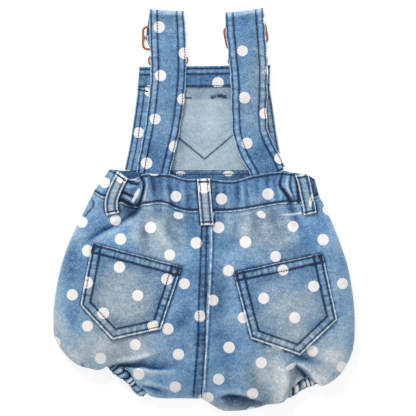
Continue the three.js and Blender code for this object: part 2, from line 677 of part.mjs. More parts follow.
// A five-sided patch as shares across and down, with its lower side bent at the point
function pocketPlan(shape) {
  const corner = (at) => vector(at.x, at.y, 0);
  const [topLeft, topRight] = [corner(shape.topLeft), corner(shape.topRight)];
  const [lowLeft, lowRight, point] = [corner(shape.lowLeft), corner(shape.lowRight), corner(shape.point)];
  const bend = lowLeft.distanceTo(point) / (lowLeft.distanceTo(point) + point.distanceTo(lowRight));
  const low = (share) =>
    share < bend
      ? lowLeft.clone().lerp(point, share / bend)
      : point.clone().lerp(lowRight, (share - bend) / (1 - bend));
  return (across, down) => {
    const edge = topLeft.clone().lerp(topRight, across).lerp(low(across), down);
    const left = topLeft.clone().lerp(lowLeft, down);
    const sides = left.lerp(topRight.clone().lerp(lowRight, down), across);
    const corners = topLeft.clone().lerp(topRight, across);
    corners.lerp(lowLeft.clone().lerp(lowRight, across), down);
    return edge.add(sides).sub(corners);
  };
}

// A seat pocket, made from the seat's own points moved out, with its folded top hem thicker
function seatPocket(side) {
  const plan = pocketPlan(side === "left" ? LEFT_POCKET : RIGHT_POCKET);
  const { across, down } = STEPS.pocket;
  const lifted = (height) => (acrossShare, downShare) => {
    const place = plan(acrossShare, downShare);
    const { at, normal } = onSeat(SEATS[side], place.x, place.y);
    const hem = height > POCKET_GAP && downShare < POCKET_HEM_SHARE ? POCKET_HEM : 0;
    return at.addScaledVector(normal, height + hem);
  };
  const outer = grid(lifted(POCKET_GAP + DENIM), across, down);
  const inner = grid(lifted(POCKET_GAP), across, down);
  return piece(`pocket_${side}`, shell(outer, inner), "denim");
}

function backWaistband() {
  const { along, across } = STEPS.backBand;
  const outer = grid(backBandPoint, along, across);
  const rims = { first: "level", last: "level", low: "square" };
  return piece("waistband_back", sewnWall(outer, WAISTBAND, 1, rims), "denim");
}

// The turn of the front's cloth up its side, from the surface to the side seam
function sideTurn(fromSide, height) {
  const share = clamp(1 - fromSide / FRONT_SIDE_TURN);
  return height * (1 - Math.sqrt(1 - share ** 2));
}

function frontWaistband() {
  const top = seamCurve(FRONT_BAND_TOP);
  const low = seamCurve(FRONT_WAIST);
  const height = BACK_WAISTBAND[0].topZ - SEAM_GAP;
  const { along, across } = STEPS.frontBand;
  const face = (lift) =>
    grid(
      (share, run) => {
        const eased = mix(run, (1 - Math.cos(run * Math.PI)) / 2, 0.6);
        const point = top.getPointAt(eased).lerp(low.getPointAt(eased), share);
        const fromSide = Math.min(eased, 1 - eased) * low.getLength();
        const turned = clamp(1 - fromSide / FRONT_SIDE_TURN);
        point.z = sideTurn(fromSide, height) + lift * (1 - turned);
        point.x += (run < 0.5 ? 1 : -1) * lift * turned;
        return point;
      },
      across,
      along,
    );
  return piece("waistband_front", shell(face(0), face(WAISTBAND)), "denim");
}

// One half of the front: flat, and turned up along its side to meet the seat
function frontPanel(side) {
  const turn = side === "left" ? -1 : 1;
  const middle = seamCurve(FRONT_CENTRE.map((row) => ({ x: row.x + (turn * SEAM_GAP) / 2, y: row.y })));
  const halfWaist = [...FRONT_WAIST].filter((row) => row.x * turn > 1).map((row) => ({ ...row, y: row.y - SEAM_GAP }));
  const waistRows = [...halfWaist, { x: FRONT_CENTRE[0].x + (turn * SEAM_GAP) / 2, y: FRONT_CENTRE[0].y }];
  if (side === "right") waistRows.unshift(...waistRows.splice(0, waistRows.length - 1).reverse());
  const waist = seamCurve(waistRows);
  const edge = seamCurve(side === "left" ? LEFT_FRONT_EDGE : RIGHT_FRONT_EDGE);
  const outline = seamCurve(side === "left" ? LEFT_SIDE : RIGHT_SIDE);
  const plan = patch(waist, edge, outline, middle);
  const { across, down } = STEPS.front;
  const seamTop = (share) => mix(BACK_WAISTBAND[0].lowZ, SIDE_SEAM_HEIGHT, belowWaistAtSide(share)) - SEAM_GAP;
  const face = grid(
    (step, row) => {
      const share = easedDown(row);
      const eased = 1 - Math.cos((step * Math.PI) / 2);
      const point = plan(mix(step, eased, 0.85), share);
      const fromSide = point.distanceTo(plan(0, share));
      point.z = sideTurn(fromSide, seamTop(share));
      return point;
    },
    across,
    down,
  );
  return piece(`front_${side}`, sewnWall(face, DENIM, -1, PANEL_RIMS), "denim");
}

// A leg casing: a ring of gathered cloth pressed flat, wider than high, with its elastic's waves
function legCasing(side) {
  const line = side === "left" ? LEFT_CASING : RIGHT_CASING;
  const length = Math.hypot(line.x1 - line.x0, line.y1 - line.y0);
  const along = vector((line.x1 - line.x0) / length, (line.y1 - line.y0) / length, 0);
  const out = vector(along.y, -along.x, 0);
  const middle = vector((line.x0 + line.x1) / 2, (line.y0 + line.y1) / 2, CASING_MIDDLE);
  const { around, across } = STEPS.casing;
  const ring = (inset) =>
    Array.from({ length: around }, (_, step) => {
      const angle = (step / around) * Math.PI * 2;
      const wave = CASING_WAVE_HEIGHT * Math.sin(angle * CASING_WAVES) - inset;
      const round = Math.sign(Math.sin(angle)) * Math.abs(Math.sin(angle)) ** 0.7;
      return Array.from({ length: across + 1 }, (_, row) => {
        const point = middle.clone();
        point.addScaledVector(along, (length / 2 + wave) * Math.cos(angle));
        point.addScaledVector(out, (row / across) * CASING_WIDTH);
        point.z += (CASING_HALF_HEIGHT + wave) * round;
        return point;
      });
    });
  return piece(`casing_${side}`, shell(ring(0), ring(DENIM), true), "denim");
}

// How high the bib's lower face lies: on its pocket, and lifted over the two buttons near its top
function bibRest(x, y) {
  let lift = 0;
  for (const button of Object.values(BUTTONS)) {
    const beside = clamp((Math.abs(x - button.x) - BUCKLE_HALF) / BUCKLE_SLOPE);
    lift = Math.max(lift, (1 - smooth(beside)) * smooth(clamp((y - 95) / 25)));
  }
  return mix(BIB_REST, BIB_OVER_BUTTON, lift);
}

// The bib in plan, across from its left edge to its right one and down from its top
const bibLeft = seamCurve(BIB_LEFT);
const bibRight = seamCurve(BIB_RIGHT);
function bibPlan(across, down) {
  return bibLeft.getPointAt(down).lerp(bibRight.getPointAt(down), across);
}

// A layer over the bib's place, between two heights above its rest
function bibLayer(name, plan, across, down, from, thickness, finish) {
  const face = (height) =>
    grid(
      (step, share) => {
        const point = plan(step, share);
        point.z = bibRest(point.x, point.y) + height;
        return point;
      },
      across,
      down,
    );
  return piece(name, shell(face(from), face(from + thickness)), finish);
}

function bibPieces() {
  const { across, down } = STEPS.bib;
  const length = bibLeft.getLength();
  const topShare = BIB_FACING_HEIGHT / length;
  const sideShare = (point) => BIB_SIDE_FACING / bibPlan(0, point).distanceTo(bibPlan(1, point));
  const belowTop = (share) => mix(topShare + SEAM_GAP / length, 1, share);
  const onBib = DENIM + SEAM_GAP;
  const facing = STEPS.facing;
  return [
    bibLayer("bib", bibPlan, across, down, 0, DENIM, "inside"),
    bibLayer(
      "bib_facing_top",
      (step, share) => bibPlan(step, share * topShare),
      facing.along,
      facing.across,
      onBib,
      FACING,
      "denim",
    ),
    bibLayer(
      "bib_facing_left",
      (step, share) => bibPlan(step * sideShare(belowTop(share)), belowTop(share)),
      facing.across,
      down,
      onBib,
      FACING,
      "denim",
    ),
    bibLayer(
      "bib_facing_right",
      (step, share) => bibPlan(1 - (1 - step) * sideShare(belowTop(share)), belowTop(share)),
      facing.across,
      down,
      onBib,
      FACING,
      "denim",
    ),
    bibPocket(),
  ];
}

// The pocket on the bib's outer face, which lies on the surface
function bibPocket() {
  const plan = pocketPlan(BIB_POCKET);
  const { across, down } = STEPS.bibPocket;
  const face = (height) =>
    grid(
      (step, share) => {
        const point = plan(step, share);
        point.z = (bibRest(point.x, point.y) - BIB_REST) * 0.7 + height;
        return point;
      },
      across,
      down,
    );
  return piece("bib_pocket", shell(face(0), face(DENIM)), "denim");
}

// A strip's cross line at a place: points across its width, turned by its lean
function crossLine(at, z, across) {
  const lean = THREE.MathUtils.degToRad(at.lean);
  return Array.from({ length: across + 1 }, (_, step) => {
    const aside = (step / across - 0.5) * at.width;
    return vector(at.x + aside * Math.cos(lean), at.y + aside * Math.sin(lean), z);
  });
}

// A table of rows resampled smoothly, to a number of steps
function resampled(rows, steps) {
  const placed = rows.map((row) => vector(row.x, row.y, row.z ?? row.rise ?? 0));
  const curve = new THREE.CatmullRomCurve3(placed, false, "centripetal");
  return Array.from({ length: steps + 1 }, (_, step) => {
    const share = step / steps;
    const point = curve.getPointAt(share);
    const place = curve.getUtoTmapping(share);
    return {
      x: point.x,
      y: point.y,
      z: point.z,
      lean: column(rows, "lean", place),
      width: column(rows, "width", place),
    };
  });
}

// Half a turn or less of a strip round a bar: y and z go round (centreY, centreZ) from one angle on
function turnRound(at, centreY, centreZ, radius, fromAngle, toAngle, steps) {
  return Array.from({ length: steps + 1 }, (_, step) => {
    const angle = mix(fromAngle, toAngle, step / steps);
    return {
      ...at,
      y: centreY + radius * Math.cos(angle),
      z: centreZ + radius * Math.sin(angle),
    };
  });
}

// A strap's outer face from the waistband over the shoulder fold, under itself, round the buckle's bar
// and back up to the slider, whose middle bar its end goes round
function strapStations(strap) {
  const upper = resampled(strap.upper, STEPS.strap.run).map((at) => {
    const below = crossLine(at, 0, STEPS.strap.across).map((point) => bibRest(point.x, Math.min(point.y, 140)));
    return { ...at, z: Math.max(...below) + STRAP_ON_BIB + at.z };
  });
  const top = upper[upper.length - 1];
  const fold = turnRound(top, top.y, top.z / 2, top.z / 2, Math.PI / 2, -Math.PI / 2, STRAP_TURN_STEPS);
  const lower = resampled(
    strap.lower.map((row) => ({ ...row, z: 0 })),
    5,
  );
  const barRadius = WIRE_HEIGHT;
  const atBar = { ...lower[lower.length - 1], x: strap.buckle.x, lean: 0, width: 31 };
  const bar = turnRound(atBar, strap.buckle.y, WIRE_HEIGHT, barRadius, -Math.PI / 2, (-3 * Math.PI) / 2, STRAP_TURN_STEPS);
  const slider = strap.slider;
  const atSlider = { x: slider.x, y: slider.y, lean: slider.lean, width: 33 };
  const tail = resampled(
    [
      { ...atBar, y: strap.buckle.y + 3, z: 2 * barRadius },
      { ...atSlider, y: slider.y - 3, z: 2 * barRadius },
    ],
    3,
  );
  const end = turnRound(atSlider, slider.y, WIRE_HEIGHT, barRadius, Math.PI / 2, 0, 4);
  return [...upper, ...fold.slice(1), ...lower, ...bar, ...tail, ...end];
}

function strapPiece(side) {
  const outer = strapStations(STRAPS[side]).map((at) => crossLine(at, at.z, STEPS.strap.across));
  return piece(`strap_${side}`, wall(outer, STRAP), "denim");
}

// A slider: a rounded frame with a bar across its middle, which the strap's end goes round
function slider(side) {
  const { width, height, rail, bar, thick, corner } = SLIDER;
  const outline = roundedRectangle(new THREE.Shape(), 0, 0, width, height, corner);
  const window = (height - 2 * rail - bar) / 2;
  for (const above of [-1, 1]) {
    const middle = (above * (window + bar)) / 2;
    outline.holes.push(roundedRectangle(new THREE.Path(), 0, middle, width - 2 * rail, window, window / 2 - 1));
  }
  const geometry = new THREE.ExtrudeGeometry(outline, { depth: thick, bevelEnabled: false, curveSegments: 4 });
  geometry.translate(0, 0, -thick / 2);
  const mesh = piece(`slider_${side}`, geometry, "copper");
  const place = STRAPS[side].slider;
  mesh.position.set(place.x, place.y, WIRE_HEIGHT);
  mesh.rotation.z = THREE.MathUtils.degToRad(place.lean);
  return mesh;
}

function roundedRectangle(path, x, y, width, height, corner) {
  const [right, top] = [x + width / 2, y + height / 2];
  const [left, low] = [x - width / 2, y - height / 2];
  path.moveTo(left + corner, low);
  path.lineTo(right - corner, low);
  path.quadraticCurveTo(right, low, right, low + corner);
  path.lineTo(right, top - corner);
  path.quadraticCurveTo(right, top, right - corner, top);
  path.lineTo(left + corner, top);
  path.quadraticCurveTo(left, top, left, top - corner);
  path.lineTo(left, low + corner);
  path.quadraticCurveTo(left, low, left + corner, low);
  return path;
}

// A dungaree buckle: one closed wire, with a straight bar for the strap, drawn in to a neck and a hook
// round the button's shank
function buckle(side) {
  const { x, y } = STRAPS[side].buckle;
  const button = BUTTONS[side];
  const half = BUCKLE.width / 2 - WIRE / 2;
  const drop = y - button.y;
  const right = [
    vector(half - 3, 0, 0),
    vector(half, -3, 0),
    vector(half, -BUCKLE.shoulder, 0),
    vector(BUCKLE.neck + 5, -BUCKLE.neckDrop + 3, 0),
    vector(BUCKLE.neck, -BUCKLE.neckDrop - 1, 0),
    vector(BUCKLE.hook, -drop, 0),
    vector(BUCKLE.hook * 0.7, -drop - BUCKLE.hook * 0.75, 0),
  ];
  const left = right.map((at) => vector(-at.x, at.y, 0)).reverse();
  const path = [vector(0, 0, 0), ...right, vector(0, -drop - BUCKLE.hook, 0), ...left];
  const curve = new THREE.CatmullRomCurve3(path, true, "centripetal");
  const geometry = new THREE.TubeGeometry(curve, STEPS.wire.along, WIRE / 2, STEPS.wire.round, true);
  const mesh = piece(`buckle_${side}`, geometry, "copper");
  mesh.position.set(x, y, WIRE_HEIGHT);
  return mesh;
}

// A dungaree button, head down on the surface, with its shank up to the bib
function button(side) {
  const top = BIB_OVER_BUTTON - SEAM_GAP;
  const profile = [
    [0, 0],
    [BUTTON_HEAD - 1.2, 0],
    [BUTTON_HEAD, 0.6],
    [BUTTON_HEAD, 1.1],
    [BUTTON_HEAD - 0.6, STRAP],
    [BUTTON_SHANK, STRAP],
    [BUTTON_SHANK, top],
    [0, top],
  ].map(([radius, height]) => new THREE.Vector2(radius, height));
  const geometry = new THREE.LatheGeometry(profile, STEPS.button);
  geometry.rotateX(Math.PI / 2);
  const mesh = piece(`button_${side}`, geometry, "copper");
  mesh.position.set(BUTTONS[side].x, BUTTONS[side].y, 0);
  return mesh;
}

// A belt loop: a strip over the waistband, from its top edge to just below its seam
function beltLoop(name) {
  const rows = BELT_LOOPS[name].map((row) => ({ ...row, width: BELT_LOOP_WIDTH }));
  const line = (height) =>
    resampled(rows, STEPS.loop.along).map((at) => crossLine(at, at.z + height, STEPS.loop.across));
  return piece(`belt_loop_${name}`, shell(line(DENIM), line(0)), "denim");
}

const romper = new THREE.Group();
for (const side of ["left", "right"]) {
  romper.add(seatPanel(side), frontPanel(side), seatPocket(side), legCasing(side));
  romper.add(strapPiece(side), slider(side), buckle(side), button(side));
}
for (const name of Object.keys(BELT_LOOPS)) romper.add(beltLoop(name));
romper.add(backWaistband(), frontWaistband(), ...bibPieces());

export default romper;
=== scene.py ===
"""A baby's denim dungaree romper, laid flat on its front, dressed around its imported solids.

Lengths in the tables and in the classes are millimetres. Meshes are made in metres.
"""

from __future__ import annotations

import json
import logging
import math
from collections.abc import Sequence
from dataclasses import dataclass, field
from enum import Enum

import bpy
import numpy as np
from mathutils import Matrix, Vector
from mathutils.bvhtree import BVHTree

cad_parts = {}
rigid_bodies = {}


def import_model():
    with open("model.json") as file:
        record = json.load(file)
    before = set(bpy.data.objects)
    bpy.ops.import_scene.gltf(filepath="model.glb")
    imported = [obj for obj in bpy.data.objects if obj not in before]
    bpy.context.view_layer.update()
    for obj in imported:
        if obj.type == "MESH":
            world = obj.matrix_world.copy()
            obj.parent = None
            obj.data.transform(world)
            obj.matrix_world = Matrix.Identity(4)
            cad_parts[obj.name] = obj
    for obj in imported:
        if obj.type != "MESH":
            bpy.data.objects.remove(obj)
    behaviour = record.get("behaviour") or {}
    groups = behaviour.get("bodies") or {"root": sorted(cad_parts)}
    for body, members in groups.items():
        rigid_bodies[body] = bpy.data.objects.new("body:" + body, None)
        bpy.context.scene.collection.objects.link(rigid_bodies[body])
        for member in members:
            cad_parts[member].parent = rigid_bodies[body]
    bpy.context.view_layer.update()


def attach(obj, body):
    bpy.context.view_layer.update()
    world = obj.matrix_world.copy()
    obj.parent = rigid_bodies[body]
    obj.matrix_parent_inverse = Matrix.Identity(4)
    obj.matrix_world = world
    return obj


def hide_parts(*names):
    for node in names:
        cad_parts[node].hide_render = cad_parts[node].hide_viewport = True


LOG = logging.getLogger("romper")
MM = 0.001
Array = np.ndarray
Table = dict[str, Array]
Pair = tuple[float, float]
Colour = tuple[int, int, int]
Socket = bpy.types.NodeSocket

# How thick each cloth and the wire are, and the gap between pieces that are sewn together
DENIM = 1.2
WAISTBAND = 2.0
STRAP = 1.6
FACING = 1.0
WIRE = 2.0
SEAM_GAP = 0.3
# Heights above the surface that more than one piece is laid at
SIDE_SEAM_HEIGHT = 9.0
BIB_REST = DENIM + SEAM_GAP
WIRE_HEIGHT = STRAP + SEAM_GAP + WIRE / 2
BIB_OVER_BUTTON = WIRE_HEIGHT + WIRE / 2 + SEAM_GAP
STRAP_ON_BIB = DENIM + SEAM_GAP + FACING + SEAM_GAP + STRAP
# The greyness that all the denim shares, the palest and darkest that it gets, and a gap with no dot near
GENERAL_TONE = 0.3
LIGHT_LIMIT = 3
NO_DOT = 20
# The turn in degrees of the even net of dots, and where it starts
NET_TURN, NET_START = 27, (8, 5)
METAL = ("slider_left", "slider_right", "buckle_left", "buckle_right", "button_left", "button_right")
# The camera, in metres: its place, the height of the cloth in focus, the width that it frames, its sensor
CAMERA_PLACE, CLOTH_HEIGHT, PHOTO_WIDTH, SENSOR = (0.004, 0.0015, 3.0), 0.014, 0.416, 36
# How far the studio's floor is below the lowest solid, in metres
FLOOR_DROP = 0.0004
# Each studio lamp's name, place, power and size
LAMPS = (("key", (-0.7, 1.5, 1.4), 36, 0.7), ("fill", (1.2, -0.6, 1.6), 6, 1.4))


def table(columns: str, *rows: Sequence[float]) -> Table:
    """Names the columns of a charted table.

    Args:
        columns: the columns' names, parted by spaces.
        rows: one row of numbers for each charted place.

    Returns:
        Each column as an array, by its name.
    """
    values = np.array(rows, dtype=float)
    return {name: values[:, index] for index, name in enumerate(columns.split())}


def marks(*rows: Sequence[float]) -> Table:
    """Charted places in the plan."""
    return table("x y", *rows)


def crease(*rows: Sequence[float]) -> Table:
    """One charted fold, a line of points."""
    return table("x y left right depth dark", *rows)


def points_of(rows: Table, x: str = "x", y: str = "y") -> Array:
    """Two columns of a table as points."""
    return np.stack([rows[x], rows[y]], axis=1)


BACK_WAISTBAND = table(
    "top_x top_y top_z low_x low_y low_z",
    (-94, 41, 5, -111, 17.5, 5), (-89, 39, 9, -105, 13.5, 9), (-84, 36.5, 11, -98, 11, 11),
    (-79, 33, 12, -90, 8.5, 12.5), (-74.5, 30, 12, -82, 6, 12.5), (-70.5, 30.5, 11.5, -74.5, 3, 10),
    (-66.5, 32, 12, -67.5, 2, 9.5), (-62, 35, 13.5, -61, 4, 14), (-56, 36, 14, -54, 5, 16),
    (-49, 35.5, 13, -46, 6, 14.5), (-41, 35.7, 14, -38, 5, 16), (-33, 35, 13, -29, 1, 14.5),
    (-26, 32.5, 14.5, -21, -1.5, 16), (-18, 30.5, 13.5, -14, -2.6, 15), (-9, 30.5, 14.5, -6, -2.6, 16),
    (5, 31, 14.5, 6.5, -2.6, 16), (14, 29.5, 13.3, 15, -2.6, 14.5), (23, 28.7, 14.5, 23, -2.5, 16),
    (31, 29, 13.3, 31, -1.8, 14.5), (39, 31, 14.5, 39, -0.8, 16), (47.5, 33.6, 13.5, 47, 0.5, 15),
    (56, 35, 14.5, 55, 2, 16), (64, 36.5, 13.5, 63, 3.3, 15), (71.5, 37.5, 14, 71, 4.7, 15.5),
    (77, 38, 13.5, 78.5, 5.7, 15), (82, 37.5, 11.5, 85, 6.5, 10.5), (87, 37, 12.5, 91, 6, 14),
    (93, 36.5, 12.5, 98, 7, 14), (99, 35.5, 11, 104, 8.5, 12.5), (105, 34, 9, 110, 11, 9.5),
    (111, 30.5, 5, 115.5, 13.5, 5),
)
CENTRE_SEAM = marks((6.5, -3), (6.5, -28), (6, -53), (4, -91), (1.5, -136), (-1.5, -189.5))
# The two rows of stitches down the felled seam
CENTRE_ROWS = (
    marks((3.2, -14), (2.7, -25.5), (1.5, -75.5), (1, -131.5), (-2.6, -188)),
    marks((-2.2, -16), (-2.6, -25.5), (-4.8, -80.5), (-5.9, -132), (-11, -187)),
)
SIDES = {
    "left": marks(
        (-111, 17), (-119, 1), (-128, -17), (-136, -35), (-143, -56), (-148, -79), (-150.7, -99),
        (-151, -116), (-149.8, -127), (-147, -134),
    ),
    "right": marks(
        (115.5, 13), (122, 1), (130, -17), (138, -38), (144, -57), (148, -78), (150.4, -97), (151, -116),
        (150.6, -129), (149, -141),
    ),
}
LOWER_EDGES = {
    "left": table(
        "x y fold inwards hem",
        (-147, -134, 11, 0.6, 9.4), (-139, -144.5, 12.5, 3.5, 9), (-127, -155, 15, 6, 11),
        (-114, -159, 15.5, 6, 11.8), (-105, -160.5, 15.5, 5, 11.8), (-97, -157, 15, 3.5, 11.8),
        (-91, -155.5, 14.5, 2.5, 11.8), (-83, -156.5, 14, 1.5, 11.8), (-76, -161, 14, 1.5, 11.8),
        (-71.5, -168, 14, 1.5, 11.8), (-67, -175, 14, 1.5, 11.8), (-60, -180, 14, 2, 11.8),
        (-54, -186.5, 12, 3, 7), (-44, -189, 9, 3.5, 3.2), (-24, -189.3, 8, 3.5, 3),
        (-1.5, -189.5, 8, 3.5, 3),
    ),
    "right": table(
        "x y fold inwards hem",
        (149, -141, 11, 0.6, 9.4), (144, -153, 12.5, 3.5, 9), (137, -164, 15, 6, 11),
        (128, -172, 15.5, 5, 11.8), (118, -176.5, 15, 3.5, 11.8), (111, -173, 14.5, 2, 11.8),
        (104, -168.5, 14, 1.5, 11.8), (97, -170.5, 14, 1.5, 11.8), (91, -175.5, 14, 1.5, 11.8),
        (86, -180.5, 14, 2, 11.8), (84, -187.5, 15, 3, 11.8), (79.5, -192.7, 15, 3.5, 11.8),
        (72, -194.7, 14, 3.5, 10), (63, -195.5, 11, 3, 6), (54, -198.5, 9, 3.5, 3.2),
        (44, -200.7, 8, 3.5, 3), (31, -201.9, 8, 3.5, 3), (19, -201.5, 8, 3.5, 3), (9, -196.5, 8, 3.5, 3),
        (-1.5, -189.9, 8, 3.5, 3),
    ),
}
FRONT_EDGES = {
    "left": marks(
        (-147, -134), (-138, -140.5), (-126, -144.5), (-114, -144.5), (-104, -140.5), (-101, -141.5),
        (-78, -160.5), (-55, -179.5), (-50, -184), (-40, -187.5), (-24, -189), (-1.7, -189),
    ),
    "right": marks(
        (149, -141), (142, -149), (133, -155), (123, -158), (119, -159.5), (95, -171.5), (71, -183.5),
        (63, -189.5), (52, -195), (38, -197.5), (20, -197), (9, -192.5), (-1.3, -189),
    ),
}
FRONT_WAISTS = {
    "left": marks((-111, 17), (-96, 8.7), (-70, 5.2), (2.9, 4.2)),
    "right": marks((115.5, 13), (98, 7.7), (70, 5.2), (3.1, 4.2)),
}
FRONT_MIDDLE = marks((3, 3.9), (3, -40), (1, -120), (-1.5, -189))
FRONT_BAND = table(
    "top_x top_y low_x low_y",
    (-94, 40.7, -111, 17.3), (-80, 38.9, -96, 9), (-60, 38.8, -70, 5.5), (0, 38.8, 0, 4.5),
    (60, 38.8, 70, 5.5), (80, 38.8, 98, 8), (111, 30.2, 115.5, 13.3),
)
SEAT_CROWN = table("down z", (0, 16), (0.12, 20), (0.3, 26), (0.55, 30), (0.78, 29), (1, 24))
BIB_EDGES = table(
    "left_x left_y right_x right_y",
    (-64.5, 143, 66.5, 145), (-66.5, 120, 66, 124), (-71.5, 84, 69, 103), (-74.5, 65, 74, 69),
    (-79.8, 39.4, 79.8, 39.4),
)
POCKETS = {
    "left": marks((-111, -33.6), (-22.3, -57), (-42.8, -118.6), (-91.2, -129), (-122.7, -95.2)),
    "right": marks((29.7, -62.8), (117.7, -43.7), (132.2, -109.5), (95.5, -144.7), (46.5, -127.8)),
    "bib": marks((-38, 112), (38, 112), (36, 78), (0.5, 48), (-36, 78)),
}
STRAP_RUNS = {
    "left": table(
        "x y rise lean width",
        (-51.5, 34, 5.4, -12, 33), (-50, 42, 4, -11, 33.5), (-48, 52, 1.8, -11, 34),
        (-45.5, 64, 0.4, -11, 34.5), (-42, 80, 0, -10, 35), (-39.5, 96, 0, -6, 35.5),
        (-37.5, 112, 0, -4, 35.5), (-36, 128, 0, -1, 35.5), (-35.5, 146, 0, 2, 36), (-36, 162, 0, 1, 36.5),
        (-36.6, 180, 0, 0, 36.5), (-37.2, 195.5, 0, -3, 35.5),
    ),
    "right": table(
        "x y rise lean width",
        (65.5, 34.5, 5.4, 30, 36), (61.5, 44, 4, 29, 36), (56, 54, 1.8, 28, 36), (50.5, 65, 0.4, 24, 36),
        (46.5, 78, 0, 11, 35.5), (45.2, 95, 0, 1, 35.5), (45.3, 112, 0, -1, 36.5), (45.3, 128, 0, -1, 37),
        (44.5, 146, 0, 3, 38.5), (43, 163, 0, 5, 39), (41.6, 180, 0, 6, 40), (40.4, 195.2, 0, 7, 39.5),
    ),
}
STRAP_RETURNS = {
    "left": table("x y lean width", (-38, 192, -2, 35.5), (-40.5, 172, 2, 35.5), (-37, 159, 2, 31)),
    "right": table("x y lean width", (40.5, 192, 8, 36), (42, 175, 10, 35.5), (43.8, 159, 2, 31)),
}
SLIDERS = {"left": (-40.5, 172.0, 0.0), "right": (42.0, 175.0, 11.0)}
BUCKLES = {"left": (-36.0, 155.0), "right": (44.0, 155.0)}
BUTTONS = {"left": (-36.0, 129.0), "right": (44.0, 129.0)}
CASINGS = {"left": (-100.5, -142.3, -54.5, -180.3), "right": (69.6, -184.7, 120.6, -159.2)}
BELT_LOOPS = {
    "left": table(
        "x y z lean",
        (-81.5, 34.5, 12.6, -38), (-86, 26, 14.6, -30), (-90, 17, 15.4, -20), (-92.7, 8, 15, -4),
        (-92.5, 0, 15.4, 8), (-91, -4.5, 15.6, 14),
    ),
    "centre": table(
        "x y z lean",
        (-0.5, 30.8, 15.2, 2), (0, 22, 17.4, 2), (1, 10, 18.4, 3), (2, -2, 18, 3), (2.8, -10, 18, 3),
        (3.2, -15.5, 18.4, 3),
    ),
    "right": table(
        "x y z lean",
        (97.5, 35, 13.1, 8), (100, 27, 14.6, 8), (102, 17, 15.4, 9), (104, 8, 15, 11), (105.5, 1, 15.6, 14),
        (106, -4.5, 16, 14),
    ),
}

